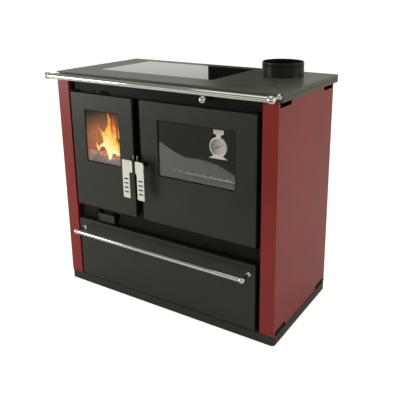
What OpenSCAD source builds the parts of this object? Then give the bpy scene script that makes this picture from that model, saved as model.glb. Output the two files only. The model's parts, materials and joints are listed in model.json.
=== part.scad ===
// Wood-burning cook stove with oven, hob, drawer and towel rails
// Origin on the floor under the middle of the hob, X to the right, Y to the back, Z up

/* [Body] */
// Width across the two side panels
body_w = 922; // [880:2:980]
// Depth of the side panels
body_d = 441; // [430:1:470]
// Sheet thickness of the side panels
panel_sheet = 2; // [1.5:0.5:2.5]
// Width of the side panels' front flanges
flange_w = 54; // [46:1:60]
// Width of the side panels' back flanges
back_flange_w = 24; // [18:1:32]
// Width of the side panels' folded top edges
top_flange_w = 18; // [10:1:24]
// Distance from the front flanges back to the front frame
frame_setback = 16; // [14:0.5:20]
// Sheet thickness of the front frame
frame_t = 3; // [2:0.5:4]
// Sheet thickness of the back panel
back_sheet = 1.5; // [1:0.5:2]
// Height of the corner notches in the side panels
notch_h = 17; // [10:1:24]
// Length of the corner notches
notch_l = 80; // [50:1:110]
// Distance of the notches from the panel's upright edges
notch_in = 8; // [6:1:16]
// Corner radius of the notches
notch_r = 6; // [2:1:9]
// Thickness of the base plate
base_t = 3; // [2:0.5:4]

/* [Plinth] */
// Height of the plinth
plinth_h = 33; // [26:1:60]
// How far the plinth stands out past the body
plinth_out = 2; // [1:0.5:5]
// Sheet thickness of the plinth
plinth_sheet = 2.5; // [1.5:0.5:3]
// Corner radius of the plinth
plinth_r = 12; // [6:1:18]
// Width of the plinth's inward top lip
plinth_lip = 18; // [12:1:30]

/* [Hob] */
// Height of the hob's top above the floor
hob_h = 850; // [820:1:900]
// Height of the hob's edge
hob_edge_t = 27; // [22:1:34]
// Thickness of the hob plate inside its edge
hob_plate_t = 8; // [7:0.5:12]
// How far the hob stands out past each side panel
hob_side_over = 9; // [4:0.5:11]
// How far the hob stands out behind the side panels
hob_back_over = 26; // [16:1:40]
// How far the front flanges stand in front of the hob
flange_lead = 3; // [1:0.5:5]
// Gap between the hob's front skirt and the front frame
skirt_gap = 1; // [0.5:0.5:2]
// Upright corner radius of the hob
hob_r = 8; // [4:1:12]
// Height of the shadow groove round the hob's edge
groove_h = 2; // [1:0.5:4]
// Depth of the shadow groove
groove_d = 1.5; // [0.5:0.5:3]
// Depth of the shadow groove below the hob's top
groove_down = 12; // [8:1:16]

/* [Hob glass] */
// Width of the glass-ceramic pane
hob_glass_w = 506; // [460:2:520]
// Depth of the glass-ceramic pane
hob_glass_d = 292; // [250:2:300]
// Distance from the hob's left edge to the pane
hob_glass_in = 114; // [100:1:130]
// Distance from the hob's front edge to the pane
hob_glass_back = 120; // [104:1:128]
// Thickness of the pane
hob_glass_t = 5; // [4:0.5:6]
// Thickness of the flat seal under the pane
hob_seal_t = 1; // [0.5:0.5:2]
// Gap round the pane
hob_glass_gap = 0.6; // [0.3:0.1:1.5]
// Width of the ledge that carries the pane
hob_ledge = 12; // [8:1:16]
// Depth of the cast ribs below the hob's top
rib_depth = 14; // [13:1:20]
// Width of the cast ribs round the openings
rib_w = 7; // [4:0.5:10]

/* [Round lid] */
// Diameter of the round lid
lid_d = 150; // [120:2:160]
// Thickness of the lid's rim
lid_t = 6; // [4:0.5:7]
// Distance from the hob's right edge to the lid's centre
lid_in = 173; // [150:1:185]
// Distance from the hob's front edge to the lid's centre
lid_back = 135; // [122:1:140]
// Gap round the lid
lid_gap = 0.5; // [0.3:0.1:1]
// Width of the ledge that carries the lid
lid_ledge = 6; // [4:0.5:9]
// Length of the lid's lifting slot
lid_slot_l = 22; // [14:1:30]
// Width of the lid's lifting slot
lid_slot_w = 7; // [5:0.5:10]

/* [Flue] */
// Outer diameter of the flue collar
collar_d = 150; // [120:2:156]
// Wall thickness of the flue collar
collar_wall = 5; // [3:0.5:7]
// Width of the flange that seats the collar in the hob
collar_flange = 5; // [3:0.5:7]
// Height of the collar above the hob
collar_h = 50; // [35:1:80]
// Distance from the hob's right edge to the collar's centre
collar_in = 164; // [155:1:175]
// Distance from the hob's back edge to the collar's centre
collar_front = 122; // [120:1:128]
// Depth of the collar's seat in the hob
collar_seat = 5; // [3:0.5:6]
// Sheet thickness of the flue box
flue_sheet = 3; // [2:0.5:4]
// Width of the bypass opening in the flue box
bypass_w = 130; // [90:2:140]
// Height of the bypass opening
bypass_h = 50; // [36:1:56]

/* [Inner casing] */
// Sheet thickness of the inner casing
casing_sheet = 3; // [2:0.5:4]
// Gap between the inner casing and the front flanges' lips
casing_in = 3; // [1:1:8]
// Air gap between the inner casing and the back panel
casing_back_gap = 6.5; // [4:0.5:12]
// Width of the two spacers behind the inner casing
spacer_w = 60; // [40:2:90]
// Height of the spacers
spacer_h = 20; // [12:1:30]
// Height of the heat shield above the drawer's top edge
shield_up = 6; // [4:1:12]
// Sheet thickness of the heat shield
shield_t = 1.5; // [1:0.5:2]

/* [Firebox] */
// Thickness of the firebricks
brick_t = 38; // [28:1:44]
// Height of the hearth plate's underside above the ash shelf
ash_room = 54; // [46:1:64]
// Thickness of the hearth plate
hearth_t = 12; // [10:1:16]
// Width of the grate
grate_w = 164; // [130:2:180]
// Depth of the grate, front to back
grate_d = 260; // [200:2:290]
// Thickness of the grate
grate_t = 9; // [8:0.5:10]
// Width of a grate bar
grate_bar = 8; // [6:0.5:10]
// Gap between grate bars
grate_gap = 10; // [8:0.5:14]
// Width of the ledge that carries the grate
grate_ledge = 6; // [4:0.5:10]
// Width of the ash pan
pan_w = 184; // [150:2:200]
// Length of the ash pan
pan_l = 330; // [260:2:340]
// Height of the ash pan
pan_h = 44; // [30:1:45]
// Sheet thickness of the ash pan
pan_sheet = 1.5; // [1:0.5:2]

/* [Oven] */
// Depth of the oven
oven_d = 350; // [300:2:356]
// Sheet thickness of the oven box
oven_sheet = 2; // [1.5:0.5:3]
// Height of the rack above the oven's floor
rack_up = 119; // [100:1:200]
// Diameter of the rack's frame wire
rack_wire = 5; // [4:0.5:7]
// Diameter of the rack's cross wires
rack_cross = 3; // [2:0.5:4]
// Number of cross wires
rack_n = 10; // [8:1:19]
// Distance from the front frame to the rack's front wire
rack_front = 98; // [14:1:120]
// Width of the pressed ledges on the oven's sides
ledge_w = 9; // [7:0.5:12]
// Height of the pressed ledges
ledge_h = 3; // [2:0.5:5]
// Distance between ledge heights
ledge_pitch = 72; // [50:1:80]
// Width of the soot hatch under the oven
hatch_w = 200; // [140:2:260]
// Height of the soot hatch
hatch_h = 24; // [20:1:25]

/* [Doors] */
// How far the doors and drawer stand in front of the flanges
door_proud = 7; // [4:0.5:10]
// Depth of the folded door and drawer fronts
door_t = 15; // [13:0.5:16]
// Sheet thickness of the fronts
door_sheet = 2.5; // [2:0.5:3]
// Corner radius of the fronts
door_r = 3; // [2:0.5:6]
// Gap between the fronts and the side flanges
side_gap = 15; // [11:1:20]
// Gap between the two doors
door_gap = 34; // [30:1:40]
// Width of the fire door
fire_door_w = 292; // [270:1:310]
// Height of the fascia between the doors and the hob
upper_fascia = 42; // [38:1:50]
// Height of the fascia between the drawer and the doors
lower_fascia = 63; // [58:1:72]
// Margin from a door's edge to the opening behind it
open_margin = 40; // [34:1:44]
// Distance from a door's top to its window
window_top = 60; // [54:1:70]
// Width of the fire window
fire_window_w = 166; // [140:1:172]
// Distance from the fire door's hinge edge to its window
fire_window_in = 65; // [58:1:70]
// Height of the fire window
fire_window_h = 198; // [160:1:204]
// Distance from the oven door's edges to its window
oven_window_in = 75; // [66:1:84]
// Height of the oven window
oven_window_h = 200; // [170:1:210]
// Thickness of the door glass
glass_t = 4; // [3:0.5:5]
// Overlap of the glass behind the window's edge
glass_lap = 12; // [8:1:14]
// Sheet thickness of the door liners
liner_t = 2; // [1:0.5:2.5]
// Width of the rope gasket
gasket_w = 8; // [6:0.5:10]
// Length of a glass clip
clip_l = 16; // [10:1:24]

/* [Hinges] */
// Distance from a door's edge to its hinge axis
hinge_in = 8; // [7.5:0.5:10]
// Diameter of the hinge pins
pin_d = 6; // [5:0.5:7]
// Running clearance of pins and shafts, on the radius
run_gap = 0.05; // [0.03:0.01:0.08]
// Length of a hinge bush
bush_l = 20; // [14:1:30]
// Thickness of a hinge lug
lug_t = 4; // [3:0.5:6]
// Gap between a door and its hinge lugs
lug_gap = 2; // [1:0.5:3]

/* [Handles] */
// Distance from the door's face to the back of a handle plate
handle_gap = 33; // [28:1:45]
// Thickness of the handle plates
handle_t = 4; // [3:0.5:6]
// Width of a handle's grip
handle_w = 31; // [24:1:34]
// Distance from the fire handle's shaft to its outer edge
fire_grip_out = 10.5; // [9:0.5:14]
// Distance from the oven handle's shaft to its outer edge
oven_grip_out = 18; // [9:0.5:20]
// Length of a handle above its shaft
handle_up = 16; // [12:1:20]
// Length of a handle below its shaft
handle_down = 124; // [100:1:150]
// Length of a handle's wide head below its shaft
head_down = 27; // [18:1:32]
// Extra width of the fire handle's head
fire_head = 14; // [6:1:18]
// Extra width of the oven handle's head
oven_head = 6; // [4:1:10]
// Corner radius of the handles
handle_r = 5; // [2:0.5:8]
// Length of a slot in a handle
slot_l = 19.5; // [12:0.5:20]
// Height of a slot in a handle
slot_h = 5; // [3:0.5:6]
// Distance between the slots in a handle
slot_pitch = 16.3; // [12:0.1:18]
// Distance from the shaft down to the first slot
slot_down = 53; // [48:1:60]
// Number of slots in a handle
slot_n = 4; // [2:1:4]
// Diameter of the handle shafts
shaft_d = 10; // [8:0.5:11]
// Outer diameter of the shaft bushes
shaft_bush_d = 16; // [14:0.5:18]
// Height of the handle shafts above the doors' lower edge
shaft_up = 213; // [180:1:240]
// Distance from the fire door's free edge to its shaft
fire_shaft_in = 11.5; // [11:0.5:14]
// Distance from the oven door's free edge to its shaft
oven_shaft_in = 21; // [16:0.5:26]
// Thickness of a latch tongue
tongue_t = 4; // [3:0.5:5]
// Height of a latch tongue
tongue_h = 10; // [8:0.5:14]
// Clearance between a latch tongue and its keeper when released
latch_gap = 0.4; // [0.3:0.1:0.8]
// Height of the keeper's fingers
keeper_h = 18; // [14:1:26]
// Thickness of the keeper's fingers
keeper_t = 3.5; // [2.5:0.5:4]
// Distance from the middle of the door gap to a keeper finger
keeper_off = 8.75; // [8:0.25:10]
// Depth of the notch under a keeper finger
keeper_notch = 8; // [6:0.5:10]

/* [Drawer] */
// Gap between the plinth and the drawer front
drawer_gap = 7; // [4:1:12]
// Height of the drawer front
drawer_h = 240; // [200:1:260]
// Depth of the drawer box behind the front's face
drawer_box_d = 390; // [300:2:410]
// Sheet thickness of the drawer box
drawer_sheet = 2; // [1:0.5:2.5]
// Distance from the drawer front's edge to the drawer box
drawer_box_in = 26; // [22:1:34]
// Distance from the drawer front's lower edge to its box
drawer_box_up = 18.4; // [16:0.1:24]
// Distance from the drawer front's upper edge to its box
drawer_box_down = 35; // [24:1:60]
// Side clearance between the drawer box and the frame opening
drawer_clear = 6; // [4:0.5:8]
// Sheet thickness of the runners
runner_t = 2; // [1.5:0.5:3]
// Width of a runner's ledge
runner_w = 28; // [18:1:36]
// Height of a runner's upright side
runner_h = 42; // [30:1:60]
// Running gap between the drawer box and its runners
runner_gap = 0.4; // [0.3:0.1:0.8]

/* [Rails] */
// Diameter of the hob rail
hob_rail_d = 20; // [16:0.5:22]
// Distance from the hob's front to the middle of its rail
hob_rail_out = 50; // [40:1:70]
// Distance of the hob rail's middle below the hob's top
hob_rail_down = 10; // [9:0.5:14]
// Distance from the hob's side to the middle of a rail end
hob_rail_in = 12; // [10:1:30]
// Diameter of the hob rail's end balls
hob_ball_d = 27; // [26:0.5:32]
// Diameter of the drawer rail
drawer_rail_d = 16; // [13:0.5:17]
// Distance from the drawer's face to the middle of its rail
drawer_rail_out = 43; // [34:1:60]
// Distance of the drawer rail's middle below the drawer's top
drawer_rail_down = 37; // [25:1:60]
// Distance from the drawer's side to the middle of a rail end
drawer_rail_in = 25; // [16:1:40]
// Diameter of the drawer rail's end balls
drawer_ball_d = 22; // [22:0.5:28]
// Diameter of a rail bracket's stem
stem_d = 10; // [7:0.5:11]
// Diameter of a rail bracket's foot
foot_d = 19; // [14:0.5:20]
// Thickness of a rail bracket's foot
foot_t = 6; // [4:0.5:10]

/* [Controls] */
// Distance from the right side panel to the damper rod
damper_in = 254; // [231:1:271]
// Depth of the damper rod below the hob's lower edge
damper_down = 11; // [9:0.5:16]
// Diameter of the damper rod
damper_rod_d = 8; // [6:0.5:10]
// Diameter of the damper knob
knob_d = 25; // [20:0.5:30]
// Distance from the hob's front to the knob's middle
knob_out = 26; // [20:1:40]
// Length of the damper bush
damper_bush_l = 14; // [10:1:30]
// Thickness of the damper plate
damper_t = 3; // [2:0.5:4]
// Lap of the damper plate over the bypass opening
damper_lap = 7; // [4:0.5:10]
// Width of the primary air slot
air_slot_w = 104; // [90:1:120]
// Height of the primary air slot
air_slot_h = 22; // [14:1:26]
// Slot centre, from the fire door's hinge edge
air_slot_in = 136; // [120:1:150]
// Distance of the air slot below the doors
air_slot_down = 18; // [14:1:24]
// Width of the air slider's grip
grip_w = 80; // [60:1:100]
// Height of the air slider's grip
grip_h = 32; // [24:1:36]
// Thickness of the air slider's grip
grip_t = 9; // [6:0.5:12]
// Width of the stem that carries the grip
grip_stem_w = 44; // [30:1:50]
// Width of the bright tab of the air wash slider
wash_tab_w = 28; // [20:1:34]
// Thickness of the tab
wash_tab_t = 3; // [2:0.5:4]
// Tab centre, from the fire door's hinge edge
wash_in = 136; // [120:1:150]
// Height of the tab above the doors
wash_up = 5; // [4:0.5:8]
// Travel of both air sliders to each side
slider_travel = 24; // [15:1:28]

/* [Thermometer] */
// Diameter of the thermometer's case
thermo_d = 66; // [50:1:72]
// Depth of the thermometer's case
thermo_t = 6; // [5:0.5:6.5]
// Distance from the oven window's hinge side to the dial's centre
thermo_in = 69; // [55:1:100]
// Distance from the oven window's top to the dial's centre
thermo_down = 63; // [55:1:80]
// Width of the hanging plate
hang_w = 39; // [30:1:46]
// Width of the foot
thermo_foot_w = 74; // [60:1:76]

/* [Hidden] */
$fn = 48;
cut = 1;
seat_gap = 0.3;

// Main outlines
hob_w = body_w + 2 * hob_side_over;
hob_d = body_d + hob_back_over - flange_lead;
hob_front = -hob_d / 2;
hob_back = hob_d / 2;
side_x = body_w / 2;
front_y = hob_front - flange_lead;
back_y = front_y + body_d;
flange_x = side_x - flange_w;
frame_y0 = front_y + frame_setback;
frame_y1 = frame_y0 + frame_t;
frame_x = flange_x + panel_sheet;
base_z1 = plinth_h + base_t;
hob_z0 = hob_h - hob_edge_t;
plate_z0 = hob_h - hob_plate_t;
hob_skirt_t = frame_setback - flange_lead - skirt_gap;
back_in = back_y - panel_sheet - back_sheet;

// Screws of the back panel
screw_d = 4;
screw_hole_d = screw_d + 0.1;
screw_head_d = 8;
screw_head_t = 2.5;
screw_l = 9;
screw_rows = 4;
screw_end = 60;
screw_x = side_x - back_flange_w / 2;
screw_step = (hob_z0 - base_z1 - 2 * screw_end) / (screw_rows - 1);
screw_heights = [for (i = [0:screw_rows - 1]) base_z1 + screw_end + i * screw_step];

// Vents of the back panel
vent_w = 70;
vent_h = 5;
vent_up = 70;

// Pane, lid and collar openings of the hob
hob_glass_x = -hob_w / 2 + hob_glass_in;
hob_glass_y = hob_front + hob_glass_back;
lid_x = hob_w / 2 - lid_in;
lid_y = hob_front + lid_back;
collar_x = hob_w / 2 - collar_in;
collar_y = hob_back - collar_front;
pane_x1 = hob_glass_x + hob_glass_w;
pane_y1 = hob_glass_y + hob_glass_d;
pane_z0 = hob_h - hob_glass_t;
seal_z0 = pane_z0 - hob_seal_t;
rib_z0 = hob_h - rib_depth;
lid_z0 = hob_h - lid_t;
lid_slot_in = 22;
collar_z0 = hob_h - collar_seat;
collar_hole_d = collar_d - 2 * collar_wall + 2;

// Doors and drawer
door_y0 = front_y - door_proud;
door_y1 = door_y0 + door_t;
sheet_y = door_y0 + door_sheet;
front_x = flange_x - side_gap;
drawer_z0 = plinth_h + drawer_gap;
drawer_z1 = drawer_z0 + drawer_h;
door_z0 = drawer_z1 + lower_fascia;
door_z1 = hob_z0 - upper_fascia;
fire_x0 = -front_x;
fire_x1 = fire_x0 + fire_door_w;
oven_x0 = fire_x1 + door_gap;
oven_x1 = front_x;
open_z0 = door_z0 + open_margin;
open_z1 = door_z1 - open_margin;
fire_open = [fire_x0 + open_margin, fire_x1 - open_margin];
oven_open = [oven_x0 + open_margin, oven_x1 - open_margin];
window_z1 = door_z1 - window_top;
fire_window = [
    fire_x0 + fire_window_in, fire_x0 + fire_window_in + fire_window_w,
    window_z1 - fire_window_h, window_z1
];
oven_window = [
    oven_x0 + oven_window_in, oven_x1 - oven_window_in,
    window_z1 - oven_window_h, window_z1
];
glass_y1 = sheet_y + glass_t;
liner_y0 = door_y1 - liner_t;
clip_t = 2;
clip_foot = 10;
clip_lap = 6;
liner_window_out = 8;

// Hinges and latches
hinge_y = door_y0 + door_t / 2;
bush_d = door_t - 2 * door_sheet;
fire_hinge_x = fire_x0 + hinge_in;
oven_hinge_x = oven_x1 - hinge_in;
pin_l = bush_l - 2;
lug_half = 9;
shaft_z = door_z0 + shaft_up;
fire_shaft_x = fire_x1 - fire_shaft_in;
oven_shaft_x = oven_x0 + oven_shaft_in;
handle_y1 = door_y0 - handle_gap;
gap_mid = (fire_x1 + oven_x0) / 2;
bush_out = 1.5;
tongue_y1 = door_y0 - bush_out - 1.5;
tongue_y0 = tongue_y1 - tongue_t;
keeper_z0 = shaft_z + 9;
keeper_y0 = tongue_y0 - 5;
tongue_past = 3;
fire_tongue_x = gap_mid - keeper_off + keeper_t / 2 + tongue_past;
oven_tongue_x = gap_mid + keeper_off - keeper_t / 2 - tongue_past;
boss_d = 18;
boss_t = 4;
washer_t = 2;
shaft_end = 1.5;

// Inner casing, firebox and oven
casing_x = flange_x - casing_in;
casing_ix = casing_x - casing_sheet;
casing_y1 = back_in - casing_back_gap;
casing_iy = casing_y1 - casing_sheet;
casing_z0 = door_z0 + 3;
casing_iz = casing_z0 + casing_sheet;
divider_x0 = fire_open[1] + 7 + brick_t;
divider_x1 = divider_x0 + casing_sheet;
shelf_z0 = open_z0 - casing_sheet;
hearth_z0 = open_z0 + ash_room;
hearth_z1 = hearth_z0 + hearth_t;
brick_y0 = frame_y1 + 3;
grate_x = (fire_open[0] + fire_open[1]) / 2;
grate_y0 = frame_y1 + 66;
oven_y1 = frame_y1 + oven_d;
oven_top = open_z1 + oven_sheet;
rack_z = open_z0 + rack_up;
rack_side = 4;
rack_back = 14;
ledge_in = 10;
flue_x0 = collar_x - collar_d / 2 - rib_w - 24;
flue_y0 = collar_y - collar_d / 2 - rib_w - 4;
bypass_x0 = flue_x0 + flue_sheet + 12;
bypass_z0 = oven_top + 13;

// Drawer
drawer_box_x = front_x - drawer_box_in;
drawer_box_z0 = drawer_z0 + drawer_box_up;
drawer_box_z1 = drawer_z1 - drawer_box_down;
drawer_box_y1 = door_y0 + drawer_box_d;
drawer_open_x = drawer_box_x + drawer_clear;
drawer_open_z0 = drawer_box_z0 - 6;
drawer_open_z1 = drawer_box_z1 + 17;
runner_x = drawer_open_x + 1;

// Rails
hob_rail_y = hob_front - hob_rail_out;
hob_rail_z = hob_h - hob_rail_down;
hob_rail_x = hob_w / 2 - hob_rail_in;
drawer_rail_y = door_y0 - drawer_rail_out;
drawer_rail_z = drawer_z1 - drawer_rail_down;
drawer_rail_x = front_x - drawer_rail_in;
tube_in = 3;
tube_wall = 1.5;
neck_wall = 4;
neck_out = 1;
ball_fn = 96;

// Controls
damper_x = side_x - damper_in;
damper_z = hob_z0 - damper_down;
damper_bush_d = damper_rod_d + 6;
damper_y1 = flue_y0 - seat_gap;
damper_x0 = min(bypass_x0 - damper_lap, damper_x - damper_rod_d);
damper_z1 = max(bypass_z0 + bypass_h + damper_lap, damper_z + damper_rod_d);
knob_y = hob_front - knob_out;
knob_in = 8;
air_slot_x = fire_x0 + air_slot_in;
air_slot_z1 = door_z0 - air_slot_down;
grip_x = air_slot_x - 4;
grip_z1 = air_slot_z1 - 9;
grip_y1 = frame_y0 - 4;
wash_x = fire_x0 + wash_in;
wash_z0 = door_z1 + wash_up;
slider_t = 2;
slider_y0 = frame_y1 + seat_gap;
guide_t = 2;
guide_h = 5;
wash_half = wash_tab_w / 2 + 2 * slider_travel;
wash_plate_h = 20;
wash_tab_out = 16;
air_half = air_slot_w / 2 + slider_travel + 4;
air_plate_z0 = air_slot_z1 - air_slot_h - 6;
air_plate_z1 = air_slot_z1 + 6;
air_vent_w = 30;
air_stem_h = 8;
hatch_x = (oven_open[0] + oven_open[1]) / 2;
hatch_z0 = casing_iz - 3;
hatch_lap = 5;
hatch_t = 2.5;
hatch_screw_in = 12;
hatch_screw_d = 5;
hatch_screw_deep = 2;

// Thermometer
thermo_x = oven_window[1] - thermo_in;
thermo_z = oven_window[3] - thermo_down;
thermo_y0 = glass_y1 + 0.8;
thermo_y1 = thermo_y0 + thermo_t;
dial_d = thermo_d - 10;
dial_y0 = thermo_y0 + 2;
dial_t = 0.8;
needle_t = 0.5;
needle_pin_d = 2;
needle_l = dial_d * 0.42;
needle_turn = 28;

// Block between two opposite corners
module block(a, b) {
    translate(a) cube(b - a);
}

// Round bars along X, Y and Z from a point
module bar_x(p, d, l) {
    translate(p) rotate([0, 90, 0]) cylinder(d = d, h = l);
}

module bar_y(p, d, l) {
    translate(p) rotate([-90, 0, 0]) cylinder(d = d, h = l);
}

module bar_z(p, d, l) {
    translate(p) cylinder(d = d, h = l);
}

// Flat shape pushed along X, with its own axes lying along Y and Z
module along_x(p, l) {
    translate(p) rotate([90, 0, 90]) linear_extrude(l) children();
}

// Flat shape pushed along Y, with its own axes lying along X and Z
module along_y(p, l) {
    translate([p.x, p.y + l, p.z]) rotate([90, 0, 0]) linear_extrude(l) children();
}

// Rectangle with four round corners, from its lower left corner
module round_rect(w, h, r) {
    translate([r, 0]) square([w - 2 * r, h]);
    translate([0, r]) square([w, h - 2 * r]);
    for (x = [r, w - r], y = [r, h - r]) translate([x, y]) circle(r);
}

// Both sides of the stove, right and left
module both_sides() {
    children();
    mirror([1, 0, 0]) children();
}

// Round ball with a socket for its rail and a neck with one for its bracket's stem
module rail_ball(x, y, z, ball_d, rail_d) {
    difference() {
        union() {
            translate([x, y, z]) sphere(d = ball_d, $fn = ball_fn);
            bar_y([x, y, z], stem_d + neck_wall, ball_d / 2 + neck_out);
        }
        bar_x([x - ball_d, y, z], rail_d, ball_d - tube_in);
        bar_y([x, y + ball_d / 2 - tube_in, z], stem_d, ball_d);
    }
}

// Rail bracket: a foot on the carrying face and a stem into the ball
module rail_bracket(x, y, z, ball_d, face_y) {
    foot_y0 = face_y - foot_t;
    ball_y = y + ball_d / 2 - tube_in;
    bar_y([x, ball_y, z], stem_d, face_y - ball_y);
    difference() {
        translate([x, foot_y0, z]) rotate([-90, 0, 0]) cylinder(d1 = stem_d + 2, d2 = foot_d, h = foot_t);
        bar_y([x, foot_y0 - cut, z], stem_d, foot_t + 2 * cut);
    }
    bar_y([x, foot_y0, z], stem_d, foot_t);
}

// Open rail tube between two balls
module rail_tube(x, y, z, rail_d) {
    l = 2 * (x - tube_in);
    difference() {
        bar_x([-l / 2, y, z], rail_d, l);
        bar_x([-l / 2 - cut, y, z], rail_d - 2 * tube_wall, l + 2 * cut);
    }
}

// Corner notch of a side panel, open at the panel's edge
module notch(y0, z0, up, back) {
    z = up ? z0 - notch_h : z0 + notch_h;
    y = back ? y0 - notch_in : y0 + notch_in;
    translate([side_x - panel_sheet - cut, y, z])
        mirror([0, back ? 1 : 0, 0]) mirror([0, 0, up ? 0 : 1])
            along_x([0, 0, 0], panel_sheet + 2 * cut) {
                translate([0, notch_r]) square([notch_l, notch_h - notch_r + cut]);
                square([notch_l - notch_r, notch_h + cut]);
                translate([notch_l - notch_r, notch_r]) circle(notch_r);
            }
}

module side_panel() {
    difference() {
        block([side_x - panel_sheet, front_y, plinth_h], [side_x, back_y, hob_z0]);
        notch(front_y, hob_z0, true, false);
        notch(back_y, hob_z0, true, true);
        notch(front_y, plinth_h, false, false);
        notch(back_y, plinth_h, false, true);
    }
    block([flange_x, front_y, plinth_h], [side_x, front_y + panel_sheet, hob_z0]);
    block([flange_x, front_y, base_z1], [frame_x, frame_y0, hob_z0]);
    difference() {
        block([side_x - back_flange_w, back_y - panel_sheet, plinth_h], [side_x, back_y, hob_z0]);
        for (z = screw_heights)
            bar_y([screw_x, back_y - panel_sheet - cut, z], screw_hole_d, panel_sheet + 2 * cut);
    }
    block(
        [side_x - top_flange_w, front_y + notch_in + notch_l, hob_z0 - panel_sheet],
        [side_x, back_y - notch_in - notch_l, hob_z0]
    );
}

module plinth() {
    x = side_x + plinth_out;
    y0 = front_y - plinth_out;
    y1 = back_y + plinth_out;
    s = plinth_sheet;
    color("#232422") difference() {
        translate([-x, y0, 0]) linear_extrude(plinth_h) round_rect(2 * x, y1 - y0, plinth_r);
        translate([-x + s, y0 + s, s]) linear_extrude(plinth_h - 2 * s)
            round_rect(2 * (x - s), y1 - y0 - 2 * s, plinth_r - s);
        block([-x + plinth_lip, y0 + plinth_lip, s], [x - plinth_lip, y1 - plinth_lip, plinth_h + cut]);
    }
}

module base_plate() {
    x = side_x - panel_sheet;
    color("#2c2c2b") block(
        [-x, front_y + panel_sheet, plinth_h],
        [x, back_y - panel_sheet, base_z1]
    );
}

module left_side_panel() {
    color("#7a2027") mirror([1, 0, 0]) side_panel();
}

module right_side_panel() {
    color("#7a2027") side_panel();
}

module back_panel() {
    x = side_x - panel_sheet;
    color("#3a3a38") difference() {
        block([-x, back_in, base_z1], [x, back_y - panel_sheet, hob_z0]);
        both_sides() for (z = screw_heights)
            bar_y([screw_x, back_in - cut, z], screw_hole_d, back_sheet + 2 * cut);
        for (i = [-2:2], j = [0:3])
            block(
                [(2 * i - 0.5) * vent_w, back_in - cut, base_z1 + vent_up + 4 * j * vent_h],
                [(2 * i + 0.5) * vent_w, back_y, base_z1 + vent_up + (4 * j + 1) * vent_h]
            );
    }
}

module casing_screws() {
    color("#a8a8a4") both_sides() for (z = screw_heights) {
        bar_y([screw_x, back_y - screw_l, z], screw_d, screw_l);
        difference() {
            bar_y([screw_x, back_y, z], screw_head_d, screw_head_t);
            block(
                [screw_x - screw_head_d, back_y + screw_head_t - 1, z - 0.5],
                [screw_x + screw_head_d, back_y + screw_head_t + cut, z + 0.5]
            );
        }
    }
}

// Guide strip along X behind the front frame, hooked over a slider's edge
module slide_guide(x, half, z, up) {
    z0 = up ? z : z - guide_h;
    hook = up ? -1 : 1;
    y1 = slider_y0 + slider_t + seat_gap;
    block([x - half, frame_y1, z0], [x + half, y1, z0 + guide_h]);
    block(
        [x - half, y1, z0 + min(0, hook) * 2],
        [x + half, y1 + guide_t, z0 + guide_h + max(0, hook) * 2]
    );
}

module front_frame() {
    color("#2f302e") difference() {
        union() {
            block([-frame_x, frame_y0, base_z1], [frame_x, frame_y1, plate_z0]);
            slide_guide(wash_x, wash_half, wash_z0 - wash_plate_h / 2 - seat_gap, false);
            slide_guide(wash_x, wash_half, wash_z0 + wash_plate_h / 2 + seat_gap, true);
            slide_guide(air_slot_x, air_half, air_plate_z0 - seat_gap, false);
            slide_guide(air_slot_x, air_half, air_plate_z1 + seat_gap, true);
        }
        block([fire_open[0], frame_y0 - cut, open_z0], [fire_open[1], frame_y1 + cut, open_z1]);
        block([oven_open[0], frame_y0 - cut, open_z0], [oven_open[1], frame_y1 + cut, open_z1]);
        block(
            [-drawer_open_x, frame_y0 - cut, drawer_open_z0],
            [drawer_open_x, frame_y1 + cut, drawer_open_z1]
        );
        block(
            [air_slot_x - air_slot_w / 2, frame_y0 - cut, air_slot_z1 - air_slot_h],
            [air_slot_x + air_slot_w / 2, frame_y1 + cut, air_slot_z1]
        );
        block(
            [wash_x - wash_tab_w / 2 - slider_travel - 2, frame_y0 - cut, wash_z0 - 1],
            [wash_x + wash_tab_w / 2 + slider_travel + 2, frame_y1 + cut, wash_z0 + wash_tab_t + 1]
        );
        bar_y([damper_x, frame_y0 - cut, damper_z], damper_bush_d, frame_t + 2 * cut);
        block(
            [hatch_x - hatch_w / 2 + hatch_lap, frame_y0 - cut, hatch_z0 + hatch_lap],
            [hatch_x + hatch_w / 2 - hatch_lap, frame_y1 + cut, hatch_z0 + hatch_h - hatch_lap]
        );
    }
}

module soot_hatch() {
    color("#3a3b39") {
        difference() {
            block(
                [hatch_x - hatch_w / 2, frame_y0 - hatch_t, hatch_z0],
                [hatch_x + hatch_w / 2, frame_y0, hatch_z0 + hatch_h]
            );
            for (s = [-1, 1])
                bar_y(
                    [
                        hatch_x + s * (hatch_w / 2 - hatch_screw_in),
                        frame_y0 - hatch_t - cut,
                        hatch_z0 + hatch_h / 2
                    ],
                    hatch_screw_d, hatch_screw_deep
                );
        }
        difference() {
            block(
                [hatch_x - hatch_w / 2 + hatch_lap + 1, frame_y0, hatch_z0 + hatch_lap + 1],
                [hatch_x + hatch_w / 2 - hatch_lap - 1, frame_y1, hatch_z0 + hatch_h - hatch_lap - 1]
            );
            block(
                [hatch_x - hatch_w / 2 + hatch_lap + 3, frame_y0 + 0.5, hatch_z0 + hatch_lap + 3],
                [hatch_x + hatch_w / 2 - hatch_lap - 3, frame_y1 + cut, hatch_z0 + hatch_h - hatch_lap - 3]
            );
        }
    }
}

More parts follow.
